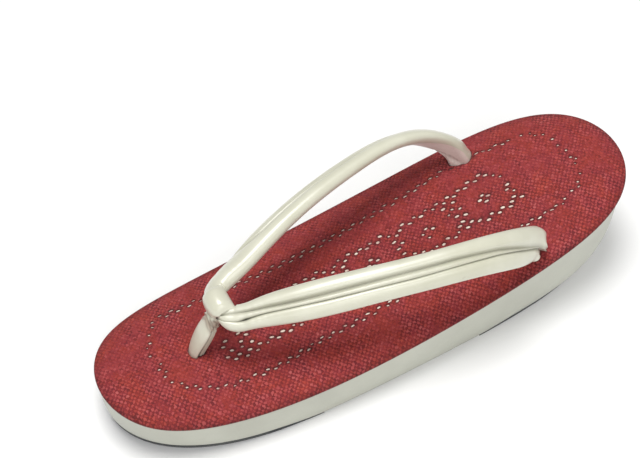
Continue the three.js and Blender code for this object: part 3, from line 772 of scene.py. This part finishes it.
def post_sections(n, m, grow=0.0):
    rows = np.array(POST, float)
    at = np.concatenate([[0], np.cumsum(np.linalg.norm(np.diff(rows[:, :2], axis=0), axis=1))])
    f = [natural(at, rows[:, c]) for c in range(4)]
    low = at[1] - 1.6
    s = np.linspace(low, at[-1], n)
    x, z, side, deep = (g(s) for g in f)
    rx, rz = f[0](s + 0.05) - f[0](s - 0.05), f[1](s + 0.05) - f[1](s - 0.05)
    r = np.hypot(rx, rz)
    rx, rz = rx / r, rz / r
    # a squarish section, squarer on the toe side
    w = 2 * math.pi * np.arange(m) / m
    cw, sw = np.cos(w), np.sin(w)
    power = np.where(cw > 0, 2 / 2.5, 2 / 2.3)
    cx = np.sign(cw) * np.abs(cw) ** power
    sy = np.sign(sw) * np.abs(sw) ** power
    rad = np.ones((n, m))
    # the broad front leg and the thin rear one meet in a seam on each side
    seam = seam_at(z)
    fade = smooth(41, 37, z)[:, None]
    turn = np.abs((w + math.pi) % (2 * math.pi) - math.pi)[None, :]
    d = turn - seam[:, None]
    rad = rad - (0.24 * np.exp(-(d / 0.13) ** 2) + 0.04 * np.exp(-(d / 0.34) ** 2)) * fade
    rad = rad + 0.05 * np.exp(-((d + 0.30) / 0.20) ** 2) * fade
    rad = rad - 0.10 * smooth(0.0, 0.12, d) * fade
    # a second fold behind the seam
    rad = rad - 0.10 * np.exp(-((d - 0.46) / 0.10) ** 2) * fade
    g, tilt = gather_at(z[:, None], cw[None, :], sw[None, :])
    g = g * smooth(34.5, 37.5, z)[:, None]
    rad = rad + g * (-0.05 + 0.075 * np.sin(tilt * 2.6 + 1.2 * np.sin(w * 2)[None, :]) + 0.03 * np.sin(tilt * 6.1 + w[None, :] * 3))
    p = np.zeros((n, m, 3))
    p[..., 0] = x[:, None] + rz[:, None] * cx[None, :] * (deep[:, None] + grow) * rad
    p[..., 2] = z[:, None] - rx[:, None] * cx[None, :] * (deep[:, None] + grow) * rad
    p[..., 1] = sy[None, :] * (side[:, None] + grow) * rad
    return p


def loop_sections(n, m):
    """The band's turn over the straps' fold: rings round the Y axis that close on the strap."""
    th = 2 * math.pi * np.arange(m) / m          # 0 towards the toe, 90 up
    s = np.linspace(0.5, 9.0, 60)
    shell = strap_sections(False, s, 0.55, True)[0]
    mid_y = shell[:, :, 1].mean(1)

    def hug(y):
        """How far the strap reaches round the loop's centre, near a distance y from the middle."""
        i = int(np.argmin(np.abs(mid_y - y)))
        dx, dz = shell[i, :, 0] - LOOP_AT[0], shell[i, :, 2] - LOOP_AT[1]
        ang, rad = np.arctan2(dz, dx), np.hypot(dx, dz)
        o = np.argsort(ang)
        return np.interp((th + math.pi) % (2 * math.pi) - math.pi, ang[o], rad[o], period=2 * math.pi)

    rings_ = []
    for q in np.linspace(-1, 1, n):
        # narrower underneath, where the band is drawn in over the post
        under = np.clip(-np.sin(th - 0.25), 0, 1)
        half = 6.4 - 2.4 * under - 0.1 * smooth(0.3, 1.0, np.cos(th - 0.5))
        y = half * q
        full = 5.5 * np.hypot(0.94 * np.cos(th), np.sin(th))
        full = full + 0.10 * np.clip(np.cos(th - 0.75), 0, 1) ** 2
        edge = np.minimum(hug(6.0), full - 0.15)
        k = 0.25 * q * q + 0.75 * np.abs(q) ** 6
        r = full * (1 - k) + edge * k
        lip = np.clip((np.abs(q) - 0.93) / 0.07, 0, 1)
        r = r - 0.7 * (1 - np.sqrt(1 - lip ** 2))
        rings_.append(np.stack([LOOP_AT[0] + r * np.cos(th), y, LOOP_AT[1] + r * np.sin(th)], -1))
    return np.array(rings_)


def closed_loft(name, rings_, mats):
    n, m = rings_.shape[:2]
    f = ring_faces(n, m).tolist()
    for row in (0, n - 1):
        f.append((np.arange(m) + row * m).tolist())
    ob = make(name, rings_.reshape(-1, 3), f, mats)
    face_out(ob)
    return ob


def boolean(ob, other, op):
    mod = ob.modifiers.new("b", "BOOLEAN")
    mod.operation, mod.object, mod.solver = op, other, "EXACT"
    dg = bpy.context.evaluated_depsgraph_get()
    me = bpy.data.meshes.new_from_object(ob.evaluated_get(dg))
    ob.modifiers.clear()
    old = ob.data
    ob.data = me
    bpy.data.meshes.remove(old)
    bpy.data.objects.remove(other)


post_rings = post_sections(110, 120)
post = closed_loft("toe_post_band", post_rings, [PEARL])
band = closed_loft("loop_tmp", loop_sections(56, 96), [PEARL])
boolean(post, band, "UNION")
s_short = np.linspace(0, 22, 40)
core = strap_sections(False, s_short, 0.06, True)[0]
core[0, :, 1] = 0
core_far = core.copy()
core_far[:, :, 1] *= -1
cutter = closed_loft("cut_tmp", np.concatenate([core_far[1:][::-1], core]), [PEARL])
boolean(post, cutter, "DIFFERENCE")
post.data.polygons.foreach_set("use_smooth", np.ones(len(post.data.polygons), bool))


def post_marks(p):
    """Two darkenings for each point of the post: its seam lines and the painted shade in its gathers' hollows, and a
    grey over the gathers (painted shade), the rear leg and the foot.
    """
    x, y, z = p.T
    ax = np.interp(z, [r[1] for r in POST], [r[0] for r in POST])
    side = np.interp(z, [r[1] for r in POST], [r[2] for r in POST])
    back = np.interp(z, [r[1] for r in POST], [r[3] for r in POST])
    turn = np.abs(np.arctan2(y / side, (x - ax) / back))
    d = turn - seam_at(z)
    below = smooth(42.5, 39.5, z)
    deep = 0.95 * np.exp(-((d + 0.01) / 0.12) ** 2) * below
    deep = np.maximum(deep, 0.5 * np.exp(-((d - 0.46) / 0.09) ** 2) * below)
    g, tilt = gather_at(z, np.cos(turn), np.sin(turn))
    g = g * smooth(34.5, 37.5, z) * smooth(44.0, 42.5, z)
    # painted shade in the hollows of the gathers
    deep = np.maximum(deep, g * 0.34 * smooth(0.35, 0.95, -np.sin(tilt * 2.6 + 1.2 * np.sin(turn * 2))))
    # grey: the gathers as painted shade, the rear leg behind the seam, and the post towards its foot
    shade_and_tint = np.maximum(g * 0.9, 0.55 * smooth(0.0, 0.15, d) * below)
    shade_and_tint = np.maximum(shade_and_tint, 0.6 * smooth(25.5, 22.0, z))
    return deep, np.clip(shade_and_tint, 0, 1)


_deep, _shade_and_tint = post_marks(points(post))
mark(post, "deep", _deep)
mark(post, "shade_and_tint", _shade_and_tint)

slots = [waterline(strap_near), waterline(strap_far), waterline(post_rings[::-1])]


# ---------------------------------------------------------------- openwork chart
# (x, y) of each hole. The ring is two staggered rows; what the straps hide follows the same spacing.
RING_TOE = [
    (88.6, -21.2), (89.6, -18.7), (92.4, -15.4), (93.6, -11.4), (95.6, -9.6), (96.1, -5.5), (93.7, -0.4), (95.4, 1.9), (93.3, 3.9),
    (94.6, 6.0), (93.2, 9.4), (89.9, 11.4), (88.9, 13.9), (85.5, 14.7), (84.5, 16.6), (80.6, 17.2), (78.1, 19.3),
]
RING_NEAR = [
    (74.6, 19.3), (71.5, 21.0), (68.4, 20.0), (66.0, 21.2), (62.3, 20.1), (59.1, 21.7), (56.7, 20.4), (53.7, 21.5), (51.3, 20.2),
    (48.2, 21.3), (46.5, 19.7), (43.5, 20.8), (41.2, 19.0), (38.2, 20.2), (36.0, 18.6), (32.8, 19.5), (31.1, 17.9), (28.3, 19.5),
    (26.1, 18.2), (23.1, 19.4), (1.1, 18.9), (-63.5, 17.1), (-65.8, 18.0), (-68.3, 17.0), (-71.5, 18.1), (-74.5, 17.2),
    (-77.6, 17.7), (-80.0, 17.0), (-82.9, 17.8),
]
RING_HEEL = [
    (-84.8, 16.2), (-89.3, 14.6), (-92.8, 14.5), (-93.8, 12.3), (-96.8, 9.4), (-98.0, 4.0), (-99.8, 2.0), (-98.4, 0.2),
    (-98.8, -3.9), (-97.5, -8.0), (-97.6, -12.3), (-95.9, -16.8), (-92.9, -18.4), (-91.9, -20.7), (-88.3, -22.1),
]
RING_FAR = [
    (-82.4, -23.1), (-79.4, -22.8), (-76.6, -24.3), (-73.4, -23.6), (-70.9, -24.8), (-50.7, -26.8), (-48.2, -25.1), (-45.3, -26.0),
    (-42.1, -24.9), (-39.2, -25.8), (-36.8, -24.2), (-34.2, -25.6), (-31.8, -24.0), (-28.2, -25.5), (-25.5, -23.4), (-22.2, -25.3),
    (-19.8, -23.5), (-17.1, -25.0), (-15.1, -23.1), (-12.1, -24.7), (-9.7, -23.1), (-6.4, -24.2), (-4.1, -22.6), (-1.4, -23.9),
    (0.9, -22.2), (3.4, -24.0), (5.7, -22.3), (7.8, -23.8), (10.4, -21.7), (13.2, -23.6), (15.1, -21.7), (17.9, -23.7),
    (19.9, -21.7), (22.7, -23.6), (24.7, -21.7), (32.6, -23.8), (34.6, -21.8),
]
# the chain of open links down the middle
CHAIN = [
    (-62.1, -14.7), (-64.4, -12.9), (-67.1, -10.8), (-69.1, -8.6), (-56.4, -14.3), (-59.4, -12.8), (-51.2, -13.0), (-54.1, -12.2),
    (-45.6, -12.7), (-48.2, -11.4), (-69.3, -3.4), (-67.9, -1.3), (-70.0, 0.8), (-68.3, 3.4), (-71.0, 5.3), (-66.3, 5.0),
    (-64.7, 6.8), (-61.7, 5.3), (-59.4, 6.7), (-56.5, 5.2), (-53.9, 7.0), (-50.7, 5.2), (-47.7, 3.7), (-44.7, 1.6), (-44.9, 5.3),
    (-42.4, 3.0), (-57.9, -4.9), (-59.9, -3.4), (-55.9, -3.2), (-58.0, -1.3),
    (-40.0, -12.4), (-43.0, -10.8), (-46.3, -9.0), (-34.7, -12.4), (-37.7, -10.9), (-41.1, -8.4), (-44.1, -6.2), (-47.1, -4.7),
    (-41.5, -4.4), (-44.0, -2.0), (-47.5, -0.7), (-40.6, 5.2),
    (-29.1, -12.1), (-31.8, -10.8), (-23.2, -11.9), (-26.2, -10.4), (-21.0, -9.8), (-35.3, 5.1), (-38.3, 6.6), (-29.6, 5.9),
    (-32.5, 6.7), (-30.2, -4.2), (-32.8, -2.7), (-27.8, -2.3), (-29.4, 0.4),
    (-12.6, -12.0), (-15.7, -9.8), (-18.7, -8.3), (-7.4, -11.2), (-10.4, -9.8), (-16.0, -6.0), (-18.8, -3.8), (-16.1, -2.0),
    (-16.8, 1.3), (-20.4, 3.7),
    (-2.5, -11.0), (-5.1, -9.7), (2.9, -11.6), (-0.1, -10.0), (-3.6, -3.8), (-6.0, -2.1), (-1.5, -1.5),
    (7.9, -11.2), (5.4, -9.4), (10.7, -9.3), (7.6, -7.2), (18.5, -10.9), (15.7, -9.1), (12.5, -7.1), (24.0, -10.2), (21.0, -8.7),
    (28.7, -10.2),
]
TOE_KNOT = [
    (66.2, 0.8), (60.5, 3.8), (57.3, 1.8), (56.6, 5.9), (54.2, 8.3), (51.2, 9.4), (61.2, 6.3), (59.0, 8.9), (56.2, 10.6), (65.6, 6.0),
    (63.6, 9.0), (61.0, 11.1), (68.1, 3.1), (68.4, 8.2), (65.8, 10.4), (59.9, -0.2), (48.7, 7.9), (46.2, 9.4), (43.5, 7.5),
    (40.5, 8.9), (38.3, 7.2), (35.3, 8.6),
]
# one whole link about its own centre, for the ones that the straps hide
LINK = [
    (-12.4, 5.8), (-10.4, 7.8), (-8.0, 9.3), (-5.2, 7.8), (-2.4, 9.3), (0.6, 7.8), (3.4, 9.3), (6.4, 7.7), (9.2, 6.2), (11.6, 4.6),
    (13.0, 2.4), (11.0, 1.0), (13.6, -0.8), (10.6, -2.6), (12.9, -4.4), (-10.2, -9.9), (-7.6, -8.3), (-4.8, -9.9), (-1.8, -8.3),
    (1.0, -9.6), (3.8, -8.0), (6.8, -9.4), (9.6, -7.2), (12.2, -8.9), (-2.6, -0.2), (0.0, 1.6), (2.4, 0.0), (0.0, -1.9),
]


def openwork():
    """Every hole as x, y, half length, half width, turn."""
    near, far = np.array(RING_NEAR), np.array(RING_FAR)
    fy = natural([-84, -63, -40, -10, 23, 36, 48, 60, 72], [17.4, 17.4, 17.8, 18.2, 18.8, 19.2, 20.5, 20.9, 20.2])
    gy = natural([-84, -66, -50, -34, -16, 0, 16, 34, 52, 68, 84], [-22.8, -25.2, -26.0, -24.9, -24.1, -23.1, -22.7, -22.8, -23.3, -23.4, -22.3])
    fill = [(x, float(fy(x)) + (0.8 if i % 2 else -0.8)) for i, x in enumerate(np.arange(20.4, -61.5, -2.62))]
    fill += [(x, float(gy(x)) + (0.85 if i % 2 else -0.85)) for i, x in enumerate(np.arange(-68.2, -52, 2.6))]
    fill += [(x, float(gy(x)) + (0.85 if i % 2 else -0.85)) for i, x in enumerate(np.arange(27.3, 87, 2.6))]
    inner = []
    for cx, cy in ((-30.2, -2.7), (-3.4, -2.2), (23.4, -1.6)):
        inner += [(cx + dx, cy + dy) for dx, dy in LINK]
    inner = [(x, y) for x, y in inner if (y > 6.5 - 0.27 * (x + 38) and x < 33) or (x > 24 and y < 2)]
    inner += [(x, -1.4 - y) for x, y in TOE_KNOT if y > 0.9 and x < 67]
    rng = np.random.RandomState(4)
    kept = []
    for group, a_lo, a_hi, b_lo, b_hi in (
            (RING_TOE, 0.48, 0.72, 0.36, 0.50), (RING_NEAR, 0.75, 1.10, 0.36, 0.50), (RING_HEEL, 0.48, 0.72, 0.38, 0.52),
            (RING_FAR, 0.80, 1.15, 0.36, 0.50), (CHAIN, 0.85, 1.18, 0.52, 0.70), (TOE_KNOT, 0.90, 1.15, 0.56, 0.72),
            (fill, 0.75, 1.10, 0.36, 0.50), (inner, 0.85, 1.18, 0.52, 0.70)):
        for x, y in group:
            a, b = rng.uniform(a_lo, a_hi), rng.uniform(b_lo, b_hi)
            if rng.uniform() < 0.14:
                a, b = a * 0.66, b * 0.8
            turn = rng.uniform(-0.3, 0.3)
            if all(((x - q[0]) / 2.25) ** 2 + ((y - q[1]) / 1.4) ** 2 > 1.0 for q in kept):
                kept.append((x, y, a, b, turn))
    return kept


def drift(x, y):
    return (0.30 * np.sin(y * 0.055 + 0.6) + 0.22 * np.sin(x * 0.043 + y * 0.03 + 2.0),
            0.34 * np.sin(x * 0.040 + 1.1) + 0.18 * np.sin(y * 0.09 - x * 0.02))


PITCH = (1.04, 1.14)                             # strand spacing along and across


def place_of(u, v):
    """Where a strand crossing lies, from its counts."""
    x, y = u * PITCH[0], v * PITCH[1]
    dx, dy = drift(x, y)
    return x + dx, y + dy


def lattice_of(x, y):
    u, v = np.asarray(x, float), np.asarray(y, float)
    for _ in range(4):
        dx, dy = drift(u, v)
        u, v = x - dx, y - dy
    return u / PITCH[0], v / PITCH[1]


# ---------------------------------------------------------------- footbed
def build_footbed():
    half_n = 300
    t = even_t(rim_point, half_n)
    edge = [(0.50, 0.56), (0.24, 0.36), (0.07, 0.08), (0.0, -0.24), (0.04, -0.58), (0.20, -0.86), (0.50, -1.0)]
    rings_ = []
    for d, rise in edge:
        p = inset(rim_point, t, d)
        z = rim_height(p[:, 0]) + rise
        rings_.append(closed(np.column_stack([p, z])))
    n = len(rings_[0])
    border = rings_[0][:, :2]

    holes = openwork()
    loops = []
    for x, y, a, b, tilt in holes:
        w = 2 * math.pi * np.arange(14) / 14
        cx, cy = np.cos(w), np.sin(w)
        ex = np.sign(cx) * np.abs(cx) ** 0.9 * a
        ey = np.sign(cy) * np.abs(cy) ** 0.9 * b
        loops.append(np.stack([x + ex * math.cos(tilt) - ey * math.sin(tilt), y + ex * math.sin(tilt) + ey * math.cos(tilt)], -1))

    # the cloth's lattice: strand crossings and the gaps between them
    iu, iv = np.meshgrid(np.arange(-121, 122), np.arange(-41, 42), indexing="ij")
    corner = np.stack(place_of(iu.ravel().astype(float), iv.ravel().astype(float)), -1)
    centre = np.stack(place_of(iu.ravel() + 0.5, iv.ravel() + 0.5), -1)
    pts = np.concatenate([corner, centre])
    over = (iu + iv).ravel() % 2                     # the strand along the shoe is on top
    rise = np.random.RandomState(9).uniform(-0.45, 0.45, len(centre))
    lift = np.concatenate([np.full(len(corner), -0.8), np.where(over == 1, 1.0, 0.15) + rise])
    half = np.interp(pts[:, 0], border[:half_n + 1, 0], border[:half_n + 1, 1], left=-9, right=-9)
    keep = np.abs(pts[:, 1]) < half - 0.25
    pts, lift = pts[keep], lift[keep]
    near_edge = np.full(len(pts), 9.0)
    for i in range(0, len(pts), 4000):
        d = np.hypot(pts[i:i + 4000, None, 0] - border[None, :, 0], pts[i:i + 4000, None, 1] - border[None, :, 1])
        near_edge[i:i + 4000] = d.min(1)
    keep = near_edge > 0.42
    ring_shade_and_cut_ends = np.zeros(len(pts))
    for x, y, a, b, tilt in holes:
        k = np.nonzero((np.abs(pts[:, 0] - x) < 3.0) & (np.abs(pts[:, 1] - y) < 3.0))[0]
        dx, dy = pts[k, 0] - x, pts[k, 1] - y
        dx, dy = dx * math.cos(tilt) + dy * math.sin(tilt), dy * math.cos(tilt) - dx * math.sin(tilt)
        keep[k[(dx / (a + 0.28)) ** 2 + (dy / (b + 0.28)) ** 2 < 1]] = False
        # a ring of darkening round each hole, partly painted shade and partly the strands' darker cut ends
        ring_shade_and_cut_ends[k] = np.maximum(ring_shade_and_cut_ends[k], 0.8 * (1 - smooth(1.0, 2.1, np.hypot(dx / (a + 0.15), dy / (b + 0.15)))))
    for loop in slots:
        c = loop.mean(0)
        k = np.nonzero(np.hypot(*(pts - c).T) < 9)[0]
        d = np.hypot(pts[k, None, 0] - loop[None, :, 0], pts[k, None, 1] - loop[None, :, 1]).min(1)
        inside = in_polygon(pts[k], loop)
        keep[k[(d < 0.35) | inside]] = False
    # no hole under a slot
    ok = [not any(in_polygon(np.array([h[:2]]), s)[0] or np.hypot(*(s - np.array(h[:2])).T).min() < 1.6 for s in slots)
          for h in holes]
    loops = [l for l, k in zip(loops, ok) if k]
    pts, lift, ring_shade_and_cut_ends = pts[keep], lift[keep], ring_shade_and_cut_ends[keep]

    src = [border] + loops + slots
    start, edges, owner, base = [], [], [], 0
    for i, l in enumerate(src):
        start.append(base)
        m = len(l)
        edges += [(base + j, base + (j + 1) % m) for j in range(m)]
        owner += [i] * m
        base += m
    allp = np.concatenate(src + [pts])
    owner = np.array(owner + [-1] * len(pts))
    lift = np.concatenate([np.zeros(base), lift])
    # darkening in full at the holes' edges, partly painted shade, and lighter at the slots' edges, where it is painted
    # shade
    ring_shade_and_cut_ends = np.concatenate([np.zeros(n), np.full(sum(len(l) for l in loops), 1.0), np.full(sum(len(l) for l in slots), 0.6), ring_shade_and_cut_ends])
    vs, _, fs, ov, _, _ = geometry.delaunay_2d_cdt([Vector(p) for p in allp.tolist()], edges, [], 0, 1e-5)
    out_of = np.full(len(allp), -1)
    first = np.full(len(vs), -1)
    for i, o in enumerate(ov):
        for j in o:
            out_of[j] = i
        if len(o):
            first[i] = min(o)
    vxy = np.array([tuple(v) for v in vs])
    tri = np.array(fs)
    own = np.where(first >= 0, owner[np.maximum(first, 0)], -1)
    o3 = own[tri]
    same = (o3[:, 0] == o3[:, 1]) & (o3[:, 1] == o3[:, 2])
    c = vxy[tri].mean(1)
    half = np.interp(c[:, 0], border[:half_n + 1, 0], border[:half_n + 1, 1], left=-9, right=-9)
    drop = (same & (o3[:, 0] > 0)) | (np.abs(c[:, 1]) > half)
    tri = tri[~drop]

    x, y = vxy[:, 0], vxy[:, 1]
    z = footbed_height(x, y)
    lf = np.where(first >= 0, lift[np.maximum(first, 0)], 0.0)
    z = z + (0.035 + 0.035 * smooth(-25, 25, y)) * lf
    hole_shade_and_cut_ends = np.where(first >= 0, ring_shade_and_cut_ends[np.maximum(first, 0)], 0.0)
    near = np.hypot(x[:, None] - border[None, ::3, 0], y[:, None] - border[None, ::3, 1]).min(1)
    z = z - 0.14 * (1 - smooth(0.0, 1.3, near)) + 0.12 * wave(x, y, 11, 46.0) * smooth(1, 9, near)
    # painted shade along the border, where the cloth rolls down over the edge
    rim_shade = (1 - smooth(0.0, 3.4, near)) * (0.75 + 0.25 * wave(x, y, 5, 30.0))
    V = [np.column_stack([x, y, z])]
    F, M = tri.tolist(), [0] * len(tri)
    count = len(vxy)

    def add(points):
        nonlocal count
        V.append(points)
        count += len(points)
        return np.arange(count - len(points), count)

    def strip(a, b, mat):
        m = len(a)
        for j in range(m):
            k = (j + 1) % m
            F.append((a[j], a[k], b[k], b[j]))
            M.append(mat)

    # rolled edge and underside
    prev = out_of[np.arange(n)]
    V[0][prev, 2] = rings_[0][:, 2]
    for r in rings_[1:]:
        nxt = add(r)
        strip(prev, nxt, 0)
        prev = nxt
    for k in range(0, half_n):
        a, b = prev[k], prev[k + 1]
        cc, d = prev[(n - k) % n], prev[(n - k - 1) % n]
        f = [a, b, d, cc]
        f = [q for i, q in enumerate(f) if q not in f[:i]]
        F.append(f)
        M.append(0)
    # openwork: blind holes down to the pale pad
    for i, l in enumerate(loops):
        idx = out_of[start[1 + i] + np.arange(len(l))]
        ctr = l.mean(0)
        V[0][idx, 2] -= 0.05
        z0 = V[0][idx, 2]
        prev = idx
        for scale, down, mat in ((0.94, 0.18, 0), (0.90, 0.46, 0), (0.60, 0.38, 1)):
            q = ctr + (l - ctr) * scale
            nxt = add(np.column_stack([q, z0 - down]))
            strip(prev, nxt, mat)
            prev = nxt
        top = add(np.array([[ctr[0], ctr[1], z0.mean() - 0.34]]))[0]
        for j in range(len(prev)):
            F.append((prev[j], prev[(j + 1) % len(prev)], top))
            M.append(1)
    # slots for straps and post
    for i, l in enumerate(slots):
        idx = out_of[start[1 + len(loops) + i] + np.arange(len(l))]
        ctr = l.mean(0)
        V[0][idx, 2] -= 0.18
        z0 = V[0][idx, 2]
        prev = idx
        for scale, zz in ((1.0, z0 - 0.5), (1.0, rim_height(l[:, 0]) - 0.75)):
            nxt = add(np.column_stack([ctr + (l - ctr) * scale, zz]))
            strip(prev, nxt, 0)
            prev = nxt
        F.append(prev.tolist())
        M.append(0)
    verts_ = np.concatenate(V)
    u, v = lattice_of(verts_[:, 0], verts_[:, 1])
    ob = make("footbed_woven", verts_, F, [WOVEN, PAD], M, uv=np.column_stack([u, v]))
    extra = len(verts_) - len(vxy)
    rolled = (len(edge) - 1) * n
    # painted shade on the rolled edge and along the border
    mark(ob, "rim", np.concatenate([rim_shade, np.ones(rolled), np.zeros(extra - rolled)]))
    # darker hole and slot walls and rings round the holes: partly painted shade, partly cut strand ends
    mark(ob, "hole", np.concatenate([hole_shade_and_cut_ends, np.zeros(rolled), np.ones(extra - rolled)]))
    # the sheet can miss a triangle or two beside a slot
    bm = bmesh.new()
    bm.from_mesh(ob.data)
    for f in bmesh.ops.holes_fill(bm, edges=[e for e in bm.edges if e.is_boundary], sides=8)["faces"]:
        f.smooth = True
    bm.to_mesh(ob.data)
    bm.free()
    face_out(ob)
    return ob, len(loops)


def in_polygon(p, poly):
    x, y = p[:, 0], p[:, 1]
    inside = np.zeros(len(p), bool)
    a = poly
    b = np.roll(poly, -1, axis=0)
    for (x0, y0), (x1, y1) in zip(a, b):
        hit = ((y0 > y) != (y1 > y)) & (x < (x1 - x0) * (y - y0) / (y1 - y0 + 1e-12) + x0)
        inside ^= hit
    return inside


footbed, hole_count = build_footbed()


# ---------------------------------------------------------------- platform
def build_platform():
    t = even_t(rim_point, 170)
    top, base = inset(rim_point, t, WALL_INSET), inset(base_point, t, 0.0)
    z_top = rim_height(top[:, 0]) - 1.0 - GAP
    z_base = ground_lift(base[:, 0]) + sheet_thickness(base[:, 0]) + GAP
    h = z_top - z_base
    bulge = WALL_BULGE + (HEEL_BULGE - WALL_BULGE) * smooth(30, 110, -top[:, 0])
    rings_ = []

    def wall(v, extra=0.0, lift=0.0):
        out = -bulge * h * 4 * v * (1 - v) * (0.2 + 1.4 * v) + extra
        a, b = inset(rim_point, t, WALL_INSET + out), inset(base_point, t, out)
        xy = a * (1 - v) + b * v
        z = z_top * (1 - v) + z_base * v + lift
        return np.column_stack([xy, z])

    rings_.append(wall(0.0, 2.6, -0.02))
    rings_.append(wall(0.0, 1.3, 0.0))
    for k in range(5):                                   # folded top edge
        w = k / 4 * math.pi / 2
        rings_.append(wall(0.0, 0.7 * (1 - math.sin(w)), -0.7 * (1 - math.cos(w))))
    first = rings_[-1]
    for v in np.linspace(0.06, 0.93, 16):
        p = wall(v)
        rings_.append(p)
    for k in range(6):                                   # rounded lower edge
        w = k / 5 * math.pi / 2
        rings_.append(wall(1.0, 0.8 * (1 - math.cos(w)), 0.8 * (1 - math.sin(w))))
    rings_.append(wall(1.0, 3.0, 0.0))
    rings_ = [closed(r) for r in rings_]
    n = len(rings_[0])
    verts_ = np.concatenate(rings_)
    faces_ = ring_faces(len(rings_), n).tolist()
    hn = n // 2
    for row in (0, len(rings_) - 1):
        o = row * n
        for k in range(hn):
            f = [o + k, o + k + 1, o + (n - k - 1) % n, o + (n - k) % n]
            faces_.append([q for i, q in enumerate(f) if q not in f[:i]])
    ob = make("platform_wrap", verts_, faces_, [ENAMEL])
    face_out(ob)
    return ob


platform = build_platform()


# ---------------------------------------------------------------- sole sheets
def build_sheet(name, lo, hi, rim):
    back, front = -LENGTH / 2 + BASE_BACK, LENGTH / 2 - BASE_FRONT

    def t_of(x):
        return math.acos(max(-1, min(1, 1 - 2 * (x - back) / (front - back))))

    t = np.linspace(0 if lo is None else t_of(lo), math.pi if hi is None else t_of(hi), 90)
    p = inset(base_point, t, rim(base_point(t)[:, 0]))
    low = ground_lift(p[:, 0])
    high = low + sheet_thickness(p[:, 0])
    th = high - low
    r = np.minimum(0.35, th * 0.3)
    sec = []
    across = np.linspace(-1, 1, 13)
    for f in across:                                     # upper face
        edge = np.sign(f) * r if abs(f) == 1 else 0
        sec.append(np.column_stack([p[:, 0], p[:, 1] * f - edge, high]))
    sec.append(np.column_stack([p[:, 0], p[:, 1], high - r]))
    sec.append(np.column_stack([p[:, 0], p[:, 1], low + r]))
    for f in across[::-1]:
        edge = np.sign(f) * r if abs(f) == 1 else 0
        sec.append(np.column_stack([p[:, 0], p[:, 1] * f - edge, low]))
    sec.append(np.column_stack([p[:, 0], -p[:, 1], low + r]))
    sec.append(np.column_stack([p[:, 0], -p[:, 1], high - r]))
    rings_ = np.stack(sec, 1)
    n, m = rings_.shape[:2]
    f = ring_faces(n, m).tolist()
    verts_ = rings_.reshape(-1, 3)
    for row in (0, n - 1):
        f.append((np.arange(m) + row * m).tolist())
    ob = make(name, verts_, f, [RUBBER])
    bm = bmesh.new()
    bm.from_mesh(ob.data)
    bmesh.ops.remove_doubles(bm, verts=bm.verts, dist=2e-6)
    bmesh.ops.dissolve_degenerate(bm, edges=bm.edges, dist=1e-7)
    bm.to_mesh(ob.data)
    bm.free()
    face_out(ob)
    mark_sharp(ob, 40)
    return ob


def mark_sharp(ob, degrees):
    bm = bmesh.new()
    bm.from_mesh(ob.data)
    for e in bm.edges:
        if len(e.link_faces) == 2 and e.calc_face_angle(0) > math.radians(degrees):
            e.smooth = False
    bm.to_mesh(ob.data)
    bm.free()


sole_front = build_sheet("sole_sheet_forefoot", FRONT_SHEET_END, None, lambda x: np.full(x.shape, 0.2))
sole_heel = build_sheet("sole_sheet_heel", None, HEEL_SHEET_END, lambda x: 0.1 + 1.2 * smooth(84, 104, -x))

# ---------------------------------------------------------------- what stands for what
for ob, node, slot in ((platform, "platform", "enamel"), (footbed, "footbed", "woven_cloth"),
                       (straps, "straps", "pearl_leather"), (post, "toe_post", "pearl_leather"),
                       (sole_front, "outsole_forefoot", "sole_rubber"), (sole_heel, "outsole_heel", "sole_rubber")):
    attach(ob, "root")
    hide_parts(node)

# ---------------------------------------------------------------- floor, light, camera
floor_mat = Nodes("floor_pale")
floor_mat.set(Base_Color=(0.94, 0.94, 0.94, 1), Roughness=0.9)
floor_mat.bsdf.inputs["Specular IOR Level"].default_value = 0.1
floor = make("floor", [(-4000, -4000, 0), (4000, -4000, 0), (4000, 4000, 0), (-4000, 4000, 0)], [(0, 1, 2, 3)], [floor_mat.mat], flat=True)

world = bpy.data.worlds.new("studio")
bpy.context.scene.world = world
world.use_nodes = True
world.node_tree.nodes["Background"].inputs[0].default_value = (1.0, 1.0, 1.0, 1)
world.node_tree.nodes["Background"].inputs[1].default_value = 0.36


def area(name, at, to, size, power, colour=(1, 1, 1)):
    light = bpy.data.lights.new(name, "AREA")
    light.shape, light.size, light.energy, light.color = "DISK", size, power, colour
    ob = bpy.data.objects.new(name, light)
    ob.location = at
    ob.rotation_euler = (Vector(to) - Vector(at)).to_track_quat("-Z", "Y").to_euler()
    bpy.context.scene.collection.objects.link(ob)
    return ob


area("key", (0.10, -0.14, 1.30), (0, 0, 0.03), 0.62, 11.5, (1.0, 0.995, 0.985))
area("front", (0.16, 0.90, 1.00), (0, 0, 0.03), 0.85, 5.0, (1.0, 1.0, 1.0))
area("fill", (0.55, 1.35, 0.42), (0, 0, 0.02), 0.9, 3.5, (0.985, 0.995, 1.0))

camera = bpy.data.cameras.new("camera")
camera.sensor_fit, camera.sensor_width, camera.lens = "HORIZONTAL", 36.0, 73.006
camera.clip_start, camera.clip_end = 0.05, 20.0
cam = bpy.data.objects.new("camera", camera)
bpy.context.scene.collection.objects.link(cam)
right = Vector((-0.88233346, 0.47059726, 0.00508738))
upward = Vector((-0.36674844, -0.69431887, 0.61920666))
backward = Vector((0.29492922, 0.54448096, 0.78521159))
rot = Matrix((right, upward, backward)).transposed()
cam.matrix_world = Matrix.Translation(Vector((0.1701754, 0.2723185, 0.4615363))) @ rot.to_4x4()
bpy.context.scene.camera = cam

view = bpy.context.scene.view_settings
view.view_transform, view.look, view.exposure, view.gamma = "Standard", "None", 0.0, 1.0
